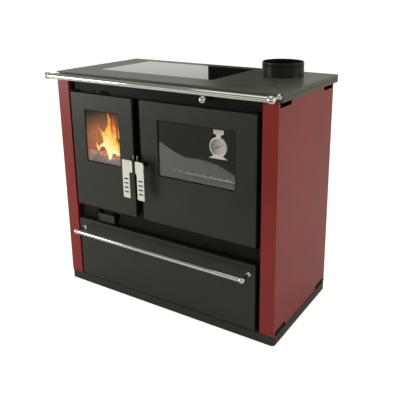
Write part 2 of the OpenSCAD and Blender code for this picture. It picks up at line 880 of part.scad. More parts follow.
module inner_casing() {
    s = casing_sheet;
    air_hole_x = -casing_ix + 10;
    air_hole_w = 44;
    air_hole_l = 200;
    color("#454643") difference() {
        union() {
            difference() {
                block([-casing_x, frame_y1, casing_z0], [casing_x, casing_y1, plate_z0]);
                block([-casing_ix, frame_y1 - cut, casing_iz], [casing_ix, casing_iy, plate_z0 + cut]);
            }
            block([divider_x0, frame_y1, casing_z0], [divider_x1, casing_y1, open_z1]);
            block([-casing_ix - s / 2, frame_y1, shelf_z0], [divider_x0 + s / 2, casing_y1 - s / 2, open_z0]);
            both_sides() block(
                [casing_x / 2 - spacer_w / 2, casing_y1 - s / 2, open_z1 - spacer_h],
                [casing_x / 2 + spacer_w / 2, back_in, open_z1]
            );
        }
        block(
            [air_hole_x, frame_y1 + 40, casing_z0 - cut],
            [air_hole_x + air_hole_w, frame_y1 + 40 + air_hole_l, open_z0 + cut]
        );
        both_sides() block(
            [casing_x / 2 - spacer_w / 2 + s, casing_y1, open_z1 - spacer_h - cut],
            [casing_x / 2 + spacer_w / 2 - s, back_in - s / 2, open_z1 + cut]
        );
    }
}

module heat_shield() {
    z0 = drawer_z1 + shield_up;
    color("#8f908c") block([-casing_x, frame_y1, z0], [casing_x, back_in, z0 + shield_t]);
}

module hob_frame() {
    color("#6a6b66") difference() {
        union() {
            difference() {
                translate([-hob_w / 2, hob_front, hob_z0]) linear_extrude(hob_edge_t)
                    round_rect(hob_w, hob_d, hob_r);
                block(
                    [-hob_w / 2 + hob_skirt_t, hob_front + hob_skirt_t, hob_z0 - cut],
                    [hob_w / 2 - hob_skirt_t, hob_back - hob_skirt_t, plate_z0]
                );
                difference() {
                    block(
                        [-hob_w, hob_front - cut, hob_h - groove_down - groove_h],
                        [hob_w, hob_back + cut, hob_h - groove_down]
                    );
                    translate([-hob_w / 2 + groove_d, hob_front + groove_d, hob_z0 - cut])
                        linear_extrude(hob_edge_t + 2 * cut)
                            round_rect(hob_w - 2 * groove_d, hob_d - 2 * groove_d, hob_r - groove_d);
                }
            }
            block(
                [hob_glass_x - rib_w, hob_glass_y - rib_w, rib_z0],
                [pane_x1 + rib_w, pane_y1 + rib_w, plate_z0]
            );
            bar_z([lid_x, lid_y, rib_z0], lid_d + 2 * rib_w, plate_z0 - rib_z0);
            bar_z([collar_x, collar_y, rib_z0], collar_d + 2 * rib_w, plate_z0 - rib_z0);
        }
        block(
            [hob_glass_x - hob_glass_gap, hob_glass_y - hob_glass_gap, seal_z0],
            [pane_x1 + hob_glass_gap, pane_y1 + hob_glass_gap, hob_h + cut]
        );
        block(
            [hob_glass_x + hob_ledge, hob_glass_y + hob_ledge, rib_z0 - cut],
            [pane_x1 - hob_ledge, pane_y1 - hob_ledge, hob_h]
        );
        bar_z([lid_x, lid_y, lid_z0], lid_d + 2 * lid_gap, lid_t + cut);
        bar_z([lid_x, lid_y, rib_z0 - cut], lid_d - 2 * lid_ledge, rib_depth + cut);
        bar_z([collar_x, collar_y, collar_z0], collar_d + 2 * collar_flange, collar_seat + cut);
        bar_z([collar_x, collar_y, rib_z0 - cut], collar_hole_d, rib_depth + cut);
    }
}

module hob_glass() {
    color("#1b1c1b") block([hob_glass_x, hob_glass_y, pane_z0], [pane_x1, pane_y1, hob_h]);
}

module hob_glass_seal() {
    color("#d8d6cc") difference() {
        block([hob_glass_x, hob_glass_y, seal_z0], [pane_x1, pane_y1, pane_z0]);
        block(
            [hob_glass_x + hob_ledge, hob_glass_y + hob_ledge, seal_z0 - cut],
            [pane_x1 - hob_ledge, pane_y1 - hob_ledge, pane_z0 + cut]
        );
    }
}

module round_lid() {
    lower_d = lid_d - 2 * lid_ledge - 2 * lid_gap;
    slot_y = lid_y - lid_d / 2 + lid_slot_in;
    color("#5f605c") difference() {
        union() {
            bar_z([lid_x, lid_y, lid_z0], lid_d, lid_t);
            bar_z([lid_x, lid_y, rib_z0], lower_d, lid_z0 - rib_z0);
        }
        bar_z([lid_x, lid_y, rib_z0 - cut], lower_d - 2 * rib_w, lid_z0 - rib_z0 + cut);
        translate([lid_x - lid_slot_l / 2, slot_y, hob_h - lid_t / 2]) linear_extrude(lid_t)
            round_rect(lid_slot_l, lid_slot_w, lid_slot_w / 2 - 0.1);
    }
}

module flue_collar() {
    color("#2b2c2a") difference() {
        union() {
            bar_z([collar_x, collar_y, collar_z0], collar_d + 2 * collar_flange, collar_seat);
            bar_z([collar_x, collar_y, collar_z0], collar_d, collar_seat + collar_h);
        }
        bar_z(
            [collar_x, collar_y, collar_z0 - cut],
            collar_d - 2 * collar_wall, collar_seat + collar_h + 2 * cut
        );
    }
}

// Two sheets that close off the space under the collar, with the bypass opening at the front
module flue_box() {
    color("#50514d") difference() {
        union() {
            block([flue_x0, flue_y0, oven_top], [flue_x0 + flue_sheet, casing_iy, plate_z0]);
            block([flue_x0, flue_y0, oven_top], [casing_ix, flue_y0 + flue_sheet, plate_z0]);
        }
        block(
            [bypass_x0, flue_y0 - cut, bypass_z0],
            [bypass_x0 + bypass_w, flue_y0 + flue_sheet + cut, bypass_z0 + bypass_h]
        );
    }
}

module oven_box() {
    s = oven_sheet;
    x0 = oven_open[0];
    x1 = oven_open[1];
    color("#7d7f7a") {
        difference() {
            block([x0 - s, frame_y1, open_z0 - s], [x1 + s, oven_y1 + s, open_z1 + s]);
            block([x0, frame_y1 - cut, open_z0], [x1, oven_y1, open_z1]);
        }
        for (k = [-1:1], x = [x0, x1 - ledge_w])
            block(
                [x, frame_y1 + ledge_in, rack_z - rack_wire / 2 - ledge_h + k * ledge_pitch],
                [x + ledge_w, oven_y1 - ledge_in, rack_z - rack_wire / 2 + k * ledge_pitch]
            );
    }
}

module oven_rack() {
    x0 = oven_open[0] + rack_side;
    x1 = oven_open[1] - rack_side;
    y0 = frame_y1 + rack_front;
    y1 = oven_y1 - rack_back;
    color("#c9c9c5") {
        for (y = [y0, y1]) bar_x([x0 - rack_wire / 2, y, rack_z], rack_wire, x1 - x0 + rack_wire);
        for (x = [x0, x1]) bar_y([x, y0, rack_z], rack_wire, y1 - y0);
        for (i = [1:rack_n])
            bar_y(
                [x0 + i * (x1 - x0) / (rack_n + 1), y0 - rack_wire / 2, rack_z + rack_wire / 2],
                rack_cross, y1 - y0 + rack_wire
            );
    }
}

module side_bricks() {
    color("#b9a58a") {
        block([-casing_ix, brick_y0, hearth_z1], [-casing_ix + brick_t, casing_iy, open_z1]);
        block([divider_x0 - brick_t, brick_y0, hearth_z1], [divider_x0, casing_iy, open_z1]);
    }
}

module back_brick() {
    color("#b29e84") block(
        [-casing_ix + brick_t, casing_iy - brick_t, hearth_z1],
        [divider_x0 - brick_t, casing_iy, open_z1]
    );
}

module hearth_plate() {
    color("#3c3c3a") difference() {
        block([-casing_ix, frame_y1, hearth_z0], [divider_x0, casing_iy, hearth_z1]);
        block(
            [grate_x - grate_w / 2 - 1, grate_y0 - 1, hearth_z1 - grate_t],
            [grate_x + grate_w / 2 + 1, grate_y0 + grate_d + 1, hearth_z1 + cut]
        );
        block(
            [grate_x - grate_w / 2 + grate_ledge, grate_y0 + grate_ledge, hearth_z0 - cut],
            [grate_x + grate_w / 2 - grate_ledge, grate_y0 + grate_d - grate_ledge, hearth_z1]
        );
    }
}

module grate() {
    pitch = grate_bar + grate_gap;
    rim = grate_ledge + 4;
    inner = grate_w - 2 * rim;
    n = floor((inner - grate_gap) / pitch);
    x0 = grate_x - (n * pitch - grate_gap) / 2;
    color("#2e2e2c") {
        difference() {
            block(
                [grate_x - grate_w / 2, grate_y0, hearth_z1 - grate_t],
                [grate_x + grate_w / 2, grate_y0 + grate_d, hearth_z1]
            );
            block(
                [grate_x - inner / 2, grate_y0 + rim, hearth_z1 - grate_t - cut],
                [grate_x + inner / 2, grate_y0 + grate_d - rim, hearth_z1 + cut]
            );
        }
        for (i = [0:n - 1])
            block(
                [x0 + i * pitch, grate_y0 + rim, hearth_z1 - grate_t],
                [x0 + i * pitch + grate_bar, grate_y0 + grate_d - rim, hearth_z1]
            );
    }
}

module ash_pan() {
    y0 = brick_y0 + 10;
    grip = 12;
    grip_d = 6;
    z_mid = open_z0 + pan_h / 2;
    color("#8b8c88") {
        difference() {
            block([grate_x - pan_w / 2, y0, open_z0], [grate_x + pan_w / 2, y0 + pan_l, open_z0 + pan_h]);
            block(
                [grate_x - pan_w / 2 + pan_sheet, y0 + pan_sheet, open_z0 + pan_sheet],
                [grate_x + pan_w / 2 - pan_sheet, y0 + pan_l - pan_sheet, open_z0 + pan_h + cut]
            );
        }
        for (s = [-1, 1]) bar_y([grate_x + s * 35, y0 - grip, z_mid], grip_d, grip);
        bar_x([grate_x - 35 - grip_d / 2, y0 - grip, z_mid], grip_d, 70 + grip_d);
    }
}

// Lugs on the front frame with the hinge pins that the doors turn on
module hinge_pair(x) {
    for (top = [false, true]) {
        z = top ? door_z1 + lug_gap : door_z0 - lug_gap - lug_t;
        pin_z = top ? door_z1 - pin_l : z;
        block([x - lug_half, hinge_y - pin_d / 2 - 3, z], [x + lug_half, frame_y0, z + lug_t]);
        bar_z([x, hinge_y, pin_z], pin_d, pin_l + lug_gap + lug_t);
    }
}

module hinge_brackets() {
    color("#333432") {
        hinge_pair(fire_hinge_x);
        hinge_pair(oven_hinge_x);
    }
}

module latch_keeper() {
    base_half = keeper_off + keeper_t / 2 + 4;
    color("#c4c5c1") {
        block(
            [gap_mid - base_half, frame_y0 - 2, keeper_z0 - 5],
            [gap_mid + base_half, frame_y0, keeper_z0 + keeper_h + 5]
        );
        for (s = [-1, 1]) difference() {
            block(
                [gap_mid + s * keeper_off - keeper_t / 2, keeper_y0, keeper_z0],
                [gap_mid + s * keeper_off + keeper_t / 2, frame_y0 - 2, keeper_z0 + keeper_h]
            );
            block(
                [gap_mid + s * keeper_off - keeper_t, tongue_y0 - 1, keeper_z0 - cut],
                [gap_mid + s * keeper_off + keeper_t, tongue_y1 + 1, keeper_z0 + keeper_notch]
            );
        }
    }
}

module drawer_runners() {
    ledge_z1 = drawer_box_z0 - runner_gap;
    color("#8f908c") both_sides() {
        block([runner_x, frame_y1, base_z1], [runner_x + runner_t, back_in, base_z1 + runner_h]);
        block([runner_x - runner_w, frame_y1, ledge_z1 - runner_t], [runner_x, back_in, ledge_z1]);
    }
}

module hob_rail() {
    color("#d9dad8") rail_tube(hob_rail_x, hob_rail_y, hob_rail_z, hob_rail_d);
}

module hob_rail_ends() {
    color("#e2e3e1") both_sides() rail_ball(hob_rail_x, hob_rail_y, hob_rail_z, hob_ball_d, hob_rail_d);
}

module hob_rail_brackets() {
    color("#d0d1cf") both_sides()
        rail_bracket(hob_rail_x, hob_rail_y, hob_rail_z, hob_ball_d, hob_front);
}

module drawer_rail() {
    color("#d9dad8") rail_tube(drawer_rail_x, drawer_rail_y, drawer_rail_z, drawer_rail_d);
}

module drawer_rail_ends() {
    color("#e2e3e1") both_sides()
        rail_ball(drawer_rail_x, drawer_rail_y, drawer_rail_z, drawer_ball_d, drawer_rail_d);
}

module drawer_rail_brackets() {
    color("#d0d1cf") both_sides()
        rail_bracket(drawer_rail_x, drawer_rail_y, drawer_rail_z, drawer_ball_d, door_y0);
}

// Folded sheet front, open at the back
module tray(x0, x1, z0, z1) {
    difference() {
        along_y([x0, door_y0, z0], door_t) round_rect(x1 - x0, z1 - z0, door_r);
        block(
            [x0 + door_sheet, sheet_y, z0 + door_sheet],
            [x1 - door_sheet, door_y1 + cut, z1 - door_sheet]
        );
    }
}

// Window hole grown by a margin, through everything between two depths
module window_hole(w, m, y0, y1) {
    block([w[0] - m, y0, w[2] - m], [w[1] + m, y1, w[3] + m]);
}

module door_panel(x0, x1, w, hinge_x, shaft_x) {
    difference() {
        tray(x0, x1, door_z0, door_z1);
        window_hole(w, 0, door_y0 - cut, door_y1);
        for (z = [door_z0, door_z1])
            bar_z([hinge_x, hinge_y, z - door_sheet - cut], pin_d + 1, 2 * door_sheet + 2 * cut);
        bar_y([shaft_x, door_y0 - cut, shaft_z], shaft_bush_d, door_t);
    }
}

module door_liner(x0, x1, w, shaft_x) {
    difference() {
        block(
            [x0 + door_sheet, liner_y0, door_z0 + door_sheet],
            [x1 - door_sheet, door_y1, door_z1 - door_sheet]
        );
        window_hole(w, liner_window_out, liner_y0 - cut, door_y1 + cut);
        bar_y([shaft_x, liner_y0 - cut, shaft_z], shaft_bush_d, liner_t + 2 * cut);
    }
}

module door_glass(w) {
    window_hole(w, glass_lap, sheet_y, glass_y1);
}

// Clips screwed beside the glass and lapping over its edge
module glass_clips(w) {
    z_mid = (w[2] + w[3]) / 2;
    z_off = (w[3] - w[2]) / 3;
    for (side = [0, 1], s = [-1, 1]) {
        edge = side == 0 ? w[0] - glass_lap : w[1] + glass_lap;
        out = side == 0 ? edge - clip_foot : edge - clip_lap;
        difference() {
            block(
                [out, sheet_y, z_mid + s * z_off - clip_l / 2],
                [out + clip_foot + clip_lap, glass_y1 + clip_t, z_mid + s * z_off + clip_l / 2]
            );
            window_hole(w, glass_lap, sheet_y - cut, glass_y1);
        }
    }
}

// Rope gasket round an opening, on the back of a door's liner
module door_gasket(opening) {
    m = 2;
    difference() {
        block(
            [opening[0] - m - gasket_w, door_y1, open_z0 - m - gasket_w],
            [opening[1] + m + gasket_w, frame_y0 - seat_gap, open_z1 + m + gasket_w]
        );
        block(
            [opening[0] - m, door_y1 - cut, open_z0 - m],
            [opening[1] + m, frame_y0, open_z1 + m]
        );
    }
}

// Two hinge bushes in the door's corners and the bush of the handle shaft
module door_bushes(hinge_x, shaft_x) {
    for (z = [door_z0 + door_sheet, door_z1 - door_sheet - bush_l]) difference() {
        bar_z([hinge_x, hinge_y, z], bush_d, bush_l);
        bar_z([hinge_x, hinge_y, z - cut], pin_d + 2 * run_gap, bush_l + 2 * cut);
    }
    difference() {
        bar_y([shaft_x, door_y0 - bush_out, shaft_z], shaft_bush_d, door_t + 2 * bush_out);
        bar_y(
            [shaft_x, door_y0 - bush_out - cut, shaft_z],
            shaft_d + 2 * run_gap, door_t + 2 * bush_out + 2 * cut
        );
    }
}

// Handle plate with a wide head and slots in its grip; side is 1 where the head reaches right
module handle_plate(shaft_x, grip_out, head, side) {
    along_y([shaft_x, handle_y1 - handle_t, shaft_z], handle_t) mirror([side > 0 ? 0 : 1, 0])
        difference() {
            union() {
                translate([-grip_out, -handle_down]) round_rect(handle_w, handle_down + handle_up, handle_r);
                translate([-grip_out, -head_down])
                    round_rect(handle_w + head, head_down + handle_up, handle_r);
            }
            for (i = [0:slot_n - 1])
                translate([-grip_out + (handle_w - slot_l) / 2, -slot_down - i * slot_pitch - slot_h / 2])
                    round_rect(slot_l, slot_h, slot_h / 2 - 0.1);
        }
}

// Handle shaft with its boss, tongue and washer
module latch(shaft_x, tip_x) {
    end_y = door_y1 + bush_out + washer_t + shaft_end;
    bar_y([shaft_x, handle_y1, shaft_z], shaft_d, end_y - handle_y1);
    bar_y([shaft_x, handle_y1, shaft_z], boss_d, boss_t);
    bar_y([shaft_x, door_y1 + bush_out + seat_gap, shaft_z], boss_d - 2, washer_t);
    x0 = min(shaft_x, tip_x);
    x1 = max(shaft_x, tip_x);
    z1 = keeper_z0 - latch_gap;
    block([x0, tongue_y0, z1 - tongue_h], [x1, tongue_y1, z1]);
}

module fire_door_panel() {
    color("#343532") door_panel(fire_x0, fire_x1, fire_window, fire_hinge_x, fire_shaft_x);
}

module fire_door_liner() {
    color("#2b2c2a") door_liner(fire_x0, fire_x1, fire_window, fire_shaft_x);
}

module fire_door_glass() {
    color("#3a3028") door_glass(fire_window);
}

module fire_glass_clips() {
    color("#9a9b97") glass_clips(fire_window);
}

module fire_door_gasket() {
    color("#8d8a80") door_gasket(fire_open);
}

module fire_door_bushes() {
    color("#b08d57") door_bushes(fire_hinge_x, fire_shaft_x);
}

module fire_handle() {
    color("#cfd0cc") handle_plate(fire_shaft_x, fire_grip_out, fire_head, 1);
}

module fire_latch() {
    color("#a9aaa6") latch(fire_shaft_x, fire_tongue_x);
}

module oven_door_panel() {
    color("#343532") door_panel(oven_x0, oven_x1, oven_window, oven_hinge_x, oven_shaft_x);
}

module oven_door_liner() {
    color("#2b2c2a") door_liner(oven_x0, oven_x1, oven_window, oven_shaft_x);
}

module oven_door_glass() {
    color("#30322e") door_glass(oven_window);
}

module oven_glass_clips() {
    color("#9a9b97") glass_clips(oven_window);
}

module oven_door_gasket() {
    color("#8d8a80") door_gasket(oven_open);
}

module oven_door_bushes() {
    color("#b08d57") door_bushes(oven_hinge_x, oven_shaft_x);
}

module oven_handle() {
    color("#cfd0cc") handle_plate(oven_shaft_x, oven_grip_out, oven_head, -1);
}

module oven_latch() {
    color("#a9aaa6") latch(oven_shaft_x, oven_tongue_x);
}

// Case with its hanging plate and its splayed foot
module thermometer_case() {
    plate_t = 1;
    neck_w = hang_w * 0.45;
    foot_z = thermo_z - thermo_d / 2 - 6;
    plate_z1 = oven_window[3] + liner_window_out + 14;
    plate_z0 = thermo_z + thermo_d / 2 + 8;
    color("#c8c9c4") {
        difference() {
            bar_y([thermo_x, thermo_y0, thermo_z], thermo_d, thermo_t);
            bar_y([thermo_x, thermo_y0 - cut, thermo_z], dial_d, dial_y0 + dial_t - thermo_y0 + cut);
            bar_y([thermo_x, thermo_y0, thermo_z], needle_pin_d + 2 * run_gap, thermo_t + cut);
        }
        block(
            [thermo_x - hang_w / 2, liner_y0 - plate_t, plate_z0],
            [thermo_x + hang_w / 2, liner_y0, plate_z1]
        );
        block(
            [thermo_x - neck_w / 2, liner_y0 - plate_t, thermo_z + thermo_d / 2 - 4],
            [thermo_x + neck_w / 2, liner_y0, plate_z0]
        );
        along_y([thermo_x, thermo_y0, foot_z], thermo_t) polygon([
            [-thermo_foot_w / 2, 0], [thermo_foot_w / 2, 0],
            [thermo_foot_w / 2 - 4, 3], [thermo_d * 0.3, 11],
            [-thermo_d * 0.3, 11], [-thermo_foot_w / 2 + 4, 3]
        ]);
    }
}

module thermometer_dial() {
    color("#d8d8d2") difference() {
        bar_y([thermo_x, dial_y0, thermo_z], dial_d, dial_t);
        bar_y([thermo_x, dial_y0 - cut, thermo_z], needle_pin_d + 2 * run_gap, dial_t + 2 * cut);
    }
}

module thermometer_needle() {
    y0 = dial_y0 - seat_gap - needle_t;
    color("#3a3a38") {
        translate([thermo_x, 0, thermo_z]) rotate([0, -needle_turn, 0])
            block([-needle_l, y0, -0.8], [needle_l, y0 + needle_t, 0.8]);
        bar_y([thermo_x, y0, thermo_z], needle_pin_d, thermo_y1 - y0 - 0.5);
        bar_y([thermo_x, y0, thermo_z], needle_pin_d * 2.5, needle_t);
    }
}

module drawer_front() {
    color("#30312f") tray(-front_x, front_x, drawer_z0, drawer_z1);
}

module drawer_box() {
    s = drawer_sheet;
    color("#4a4b48") difference() {
        block([-drawer_box_x, sheet_y, drawer_box_z0], [drawer_box_x, drawer_box_y1, drawer_box_z1]);
        block(
            [-drawer_box_x + s, sheet_y + s, drawer_box_z0 + s],
            [drawer_box_x - s, drawer_box_y1 - s, drawer_box_z1 + cut]
        );
    }
}

module damper_knob() {
    color("#e2e3e1") difference() {
        union() {
            translate([damper_x, knob_y, damper_z]) sphere(d = knob_d, $fn = ball_fn);
            bar_y([damper_x, knob_y, damper_z], damper_rod_d + neck_wall, knob_d / 2 + neck_out);
        }
        bar_y([damper_x, knob_y + knob_d / 2 - knob_in, damper_z], damper_rod_d, knob_d);
    }
}

module damper_rod() {
    y0 = knob_y + knob_d / 2 - knob_in;
    color("#b9bab6") bar_y([damper_x, y0, damper_z], damper_rod_d, damper_y1 - damper_t - y0);
}

module damper_plate() {
    z0 = oven_top + 2;
    color("#454643") block(
        [damper_x0, damper_y1 - damper_t, z0],
        [bypass_x0 + bypass_w + damper_lap, damper_y1, damper_z1]
    );
}

module damper_bush() {
    color("#b08d57") difference() {
        union() {
            bar_y([damper_x, frame_y0 - 3, damper_z], damper_bush_d, damper_bush_l);
            bar_y([damper_x, frame_y0 - 3, damper_z], damper_bush_d + 4, 3);
        }
        bar_y([damper_x, frame_y0 - 3 - cut, damper_z], damper_rod_d + 2 * run_gap, damper_bush_l + 2 * cut);
    }
}

module air_slider_grip() {
    color("#3b3c3a") along_y([grip_x - grip_w / 2, grip_y1 - grip_t, grip_z1 - grip_h], grip_t)
        round_rect(grip_w, grip_h, 3);
}

module air_slider_plate() {
    stem_z1 = grip_z1 - 2;
    vent_x = grip_stem_w / 2 + 4;
    color("#50514d") {
        block(
            [grip_x - grip_stem_w / 2, grip_y1, stem_z1 - air_stem_h],
            [grip_x + grip_stem_w / 2, slider_y0, stem_z1]
        );
        difference() {
            block(
                [grip_x - air_half, slider_y0, air_plate_z0],
                [grip_x + air_half, slider_y0 + slider_t, air_plate_z1]
            );
            for (x = [grip_x - vent_x - air_vent_w, grip_x + vent_x])
                block(
                    [x, slider_y0 - cut, air_plate_z0 + 8],
                    [x + air_vent_w, slider_y0 + slider_t + cut, air_plate_z1 - 8]
                );
        }
    }
}

module air_wash_slider() {
    half = wash_half - slider_travel;
    color("#cfd0cc") {
        block(
            [wash_x - wash_tab_w / 2, frame_y0 - wash_tab_out, wash_z0],
            [wash_x + wash_tab_w / 2, slider_y0, wash_z0 + wash_tab_t]
        );
        block(
            [wash_x - half, slider_y0, wash_z0 - wash_plate_h / 2],
            [wash_x + half, slider_y0 + slider_t, wash_z0 + wash_plate_h / 2]
        );
    }
}

plinth();
base_plate();
left_side_panel();
right_side_panel();
back_panel();
casing_screws();
front_frame();
inner_casing();
heat_shield();
hob_frame();
hob_glass();
hob_glass_seal();
round_lid();
flue_collar();
flue_box();
oven_box();
oven_rack();
soot_hatch();
side_bricks();
back_brick();
hearth_plate();
grate();
ash_pan();
hinge_brackets();
latch_keeper();
drawer_runners();
hob_rail();
hob_rail_ends();
hob_rail_brackets();
fire_door_panel();
fire_door_liner();
fire_door_glass();
fire_glass_clips();
fire_door_gasket();
fire_door_bushes();
fire_handle();
fire_latch();
oven_door_panel();
oven_door_liner();
oven_door_glass();
oven_glass_clips();
oven_door_gasket();
oven_door_bushes();
oven_handle();
oven_latch();
thermometer_case();
thermometer_dial();
thermometer_needle();
drawer_front();
drawer_box();
drawer_rail();
drawer_rail_ends();
drawer_rail_brackets();
damper_knob();
damper_rod();
damper_plate();
damper_bush();
air_slider_grip();
air_slider_plate();
air_wash_slider();
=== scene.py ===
import json
import math
import random
from contextlib import contextmanager

import bmesh
import bpy
from mathutils import Matrix, Vector, noise


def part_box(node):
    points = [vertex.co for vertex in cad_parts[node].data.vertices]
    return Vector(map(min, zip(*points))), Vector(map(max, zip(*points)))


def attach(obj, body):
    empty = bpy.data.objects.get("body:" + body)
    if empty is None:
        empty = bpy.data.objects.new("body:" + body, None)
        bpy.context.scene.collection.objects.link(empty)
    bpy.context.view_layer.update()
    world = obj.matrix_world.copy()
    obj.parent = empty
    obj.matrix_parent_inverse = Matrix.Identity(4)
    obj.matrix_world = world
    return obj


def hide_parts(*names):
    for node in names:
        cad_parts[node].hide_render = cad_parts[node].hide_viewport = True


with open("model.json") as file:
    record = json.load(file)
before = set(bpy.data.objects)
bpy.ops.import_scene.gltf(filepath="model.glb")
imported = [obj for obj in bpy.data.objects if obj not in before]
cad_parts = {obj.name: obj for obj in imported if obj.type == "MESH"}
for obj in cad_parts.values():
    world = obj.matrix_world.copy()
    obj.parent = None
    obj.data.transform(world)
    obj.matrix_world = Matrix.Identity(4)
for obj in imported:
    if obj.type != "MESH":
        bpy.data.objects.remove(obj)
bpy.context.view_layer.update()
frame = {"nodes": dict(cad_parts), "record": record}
scene = bpy.context.scene
scene.view_settings.view_transform = "Standard"
nodes = frame["nodes"]
bodyOf = {n: b for b, group in frame["record"]["behaviour"]["bodies"].items() for n in group}
slotOf = {part["node"]: part["material_slot"] for part in frame["record"]["subparts"]}
mm = 0.001
metre = 1000  # millimetres, so that metre / size gives a pattern's scale
print("frame loaded:", len(nodes), "nodes")


def toLinear(hexColour):
    channels = []
    for i in (1, 3, 5):
        c = int(hexColour[i:i + 2], 16) / 255
        channels.append(c / 12.92 if c <= 0.04045 else ((c + 0.055) / 1.055) ** 2.4)
    return (*channels, 1.0)


# Adds a node. An input takes a value, another node's output, or a node, for its first output.
def addNode(tree, kind, inputs=None, **settings):
    node = tree.nodes.new(kind)
    for name, value in settings.items():
        setattr(node, name, value)
    for socket, value in (inputs or {}).items():
        if isinstance(value, bpy.types.Node):
            value = value.outputs[0]
        if isinstance(value, bpy.types.NodeSocket):
            tree.links.new(value, node.inputs[socket])
        else:
            node.inputs[socket].default_value = value
    return node


def newMaterial(name):
    material = bpy.data.materials.new(name)
    material.use_nodes = True
    material.node_tree.nodes.clear()
    return material, material.node_tree


def placeObject(name, data):
    thing = bpy.data.objects.new(name, data)
    scene.collection.objects.link(thing)
    return thing


def addLamp(name, kind, at, power):
    lamp = placeObject(name, bpy.data.lights.new(name, kind))
    lamp.location = at
    lamp.data.energy = power
    return lamp


def meshObject(name, points, faces, materials):
    mesh = bpy.data.meshes.new(name)
    mesh.from_pydata(points, [], faces)
    mesh.validate()
    for material in materials:
        mesh.materials.append(material)
    return placeObject(name, mesh)


# The camera stands where the photograph was taken from.
cameraPlace = {
    "azimuth": 30.9108,
    "elevation": 15.6508,
    "distance": 2.0251972,
    "target": (0.152235, 0.0, 0.5956408),
    "sensor": 36,
    "lens": 49.793,
    "shift": (-0.075, -0.1375),
    "clip": (0.05, 60),
}


def makeCamera(place):
    data = bpy.data.cameras.new("camera")
    data.sensor_width = place["sensor"]
    data.lens = place["lens"]
    data.shift_x, data.shift_y = place["shift"]
    data.clip_start, data.clip_end = place["clip"]
    camera = placeObject("camera", data)
    turn, rise = math.radians(place["azimuth"]), math.radians(place["elevation"])
    back = Vector((math.sin(turn) * math.cos(rise), -math.cos(turn) * math.cos(rise), math.sin(rise)))
    camera.location = Vector(place["target"]) + back * place["distance"]
    camera.rotation_mode = "QUATERNION"
    camera.rotation_quaternion = (-back).to_track_quat("-Z", "Y")
    scene.camera = camera


makeCamera(cameraPlace)

# Soft studio: white surroundings that darken overhead, four soft boxes, a pale floor, and
# two dark things that show only in the gloss: a cloth on the floor and a card behind.
studio = {
    "ambient": 0.66,
    "lightColour": (1.0, 1.0, 0.95, 1.0),
    "skyInGloss": {"low": 1.0, "high": 0.26, "from": 0.12, "to": 0.30},
    "skyToCamera": 1.1,
    "floor": {"colour": "#d6d6cd", "glow": 0.66, "glowInGloss": 0.04, "radius": 9.0, "sides": 64},
    "softBoxes": {
        "overheadBox": {"at": (0.1, -0.3, 2.6), "to": (0.1, 0.0, 0.8), "size": (2.2, 1.6), "light": 0.9},
        "keyBox": {"at": (-1.6, -2.4, 2.2), "to": (0.0, -0.2, 0.5), "size": (1.6, 1.2), "light": 1.8,
                   "inGloss": False},
        "leftBox": {"at": (-2.9, -2.3, 1.2), "to": (0.0, -0.2, 0.7), "size": (1.4, 1.6), "light": 5.6},
        "rightBox": {"at": (2.9, 0.7, 1.6), "to": (0.3, 0.0, 0.5), "size": (1.4, 1.6), "light": 2.6},
    },
    "cloth": {"colour": "#6e6e66", "high": 0.002, "corners": [
        (0.50, -1.02), (-0.10, -1.28), (-0.54, -1.69), (-0.75, -1.82), (-0.90, -1.86), (-1.05, -1.86),
        (-1.16, -1.91), (-1.45, -2.09), (-1.50, -1.76), (-1.62, -1.68), (-1.85, -1.66), (-2.35, -1.68),
        (-3.00, -2.70), (-3.10, -5.40), (3.20, -5.40), (3.20, -1.30), (1.10, -0.92)]},
    "card": {"colour": "#141413", "behind": 2.6, "corners": [
        (-1.64, 0.4), (-0.98, 0.4), (-0.98, 2.2), (-1.64, 2.2)]},
}


def makeWorld(look):
    world = bpy.data.worlds.new("paleSurroundings")
    scene.world = world
    world.use_nodes = True
    tree = world.node_tree
    tree.nodes.clear()
    path = addNode(tree, "ShaderNodeLightPath").outputs
    where = addNode(tree, "ShaderNodeTexCoord")
    rise = addNode(tree, "ShaderNodeSeparateXYZ", {0: where.outputs["Generated"]})
    sky = look["skyInGloss"]
    inGloss = addNode(tree, "ShaderNodeMapRange", {
        "Value": rise.outputs["Z"], "From Min": sky["from"], "From Max": sky["to"],
        "To Min": sky["low"], "To Max": sky["high"]})
    seen = addNode(tree, "ShaderNodeMath", {
        0: path["Is Camera Ray"], 1: path["Is Transmission Ray"]}, operation="MAXIMUM")
    soft = addNode(tree, "ShaderNodeMix", {0: path["Is Glossy Ray"], 2: look["ambient"], 3: inGloss})
    strength = addNode(tree, "ShaderNodeMix", {0: seen, 2: soft, 3: look["skyToCamera"]})
    white = addNode(tree, "ShaderNodeBackground", {"Color": look["lightColour"], "Strength": strength})
    addNode(tree, "ShaderNodeOutputWorld", {"Surface": white})


def makeFloor(look):
    material, tree = newMaterial("pale_studio_floor")
    path = addNode(tree, "ShaderNodeLightPath").outputs
    bounced = addNode(tree, "ShaderNodeMath", {
        0: path["Is Glossy Ray"], 1: path["Is Transmission Ray"]}, operation="MAXIMUM")
    dim = addNode(tree, "ShaderNodeMath", {0: bounced, 1: look["glowInGloss"]}, operation="MULTIPLY")
    strength = addNode(tree, "ShaderNodeMath", {
        0: path["Is Camera Ray"], 1: look["glow"], 2: dim}, operation="MULTIPLY_ADD")
    glow = addNode(tree, "ShaderNodeEmission", {"Color": (1, 1, 1, 1), "Strength": strength})
    matt = addNode(tree, "ShaderNodeBsdfDiffuse", {"Color": toLinear(look["colour"])})
    both = addNode(tree, "ShaderNodeAddShader", {0: matt, 1: glow})
    addNode(tree, "ShaderNodeOutputMaterial", {"Surface": both})
    turns = [2 * math.pi * i / look["sides"] for i in range(look["sides"])]
    rim = [(look["radius"] * math.cos(a), look["radius"] * math.sin(a), 0) for a in turns]
    return meshObject("studioFloor", rim, [list(range(len(rim)))], [material])


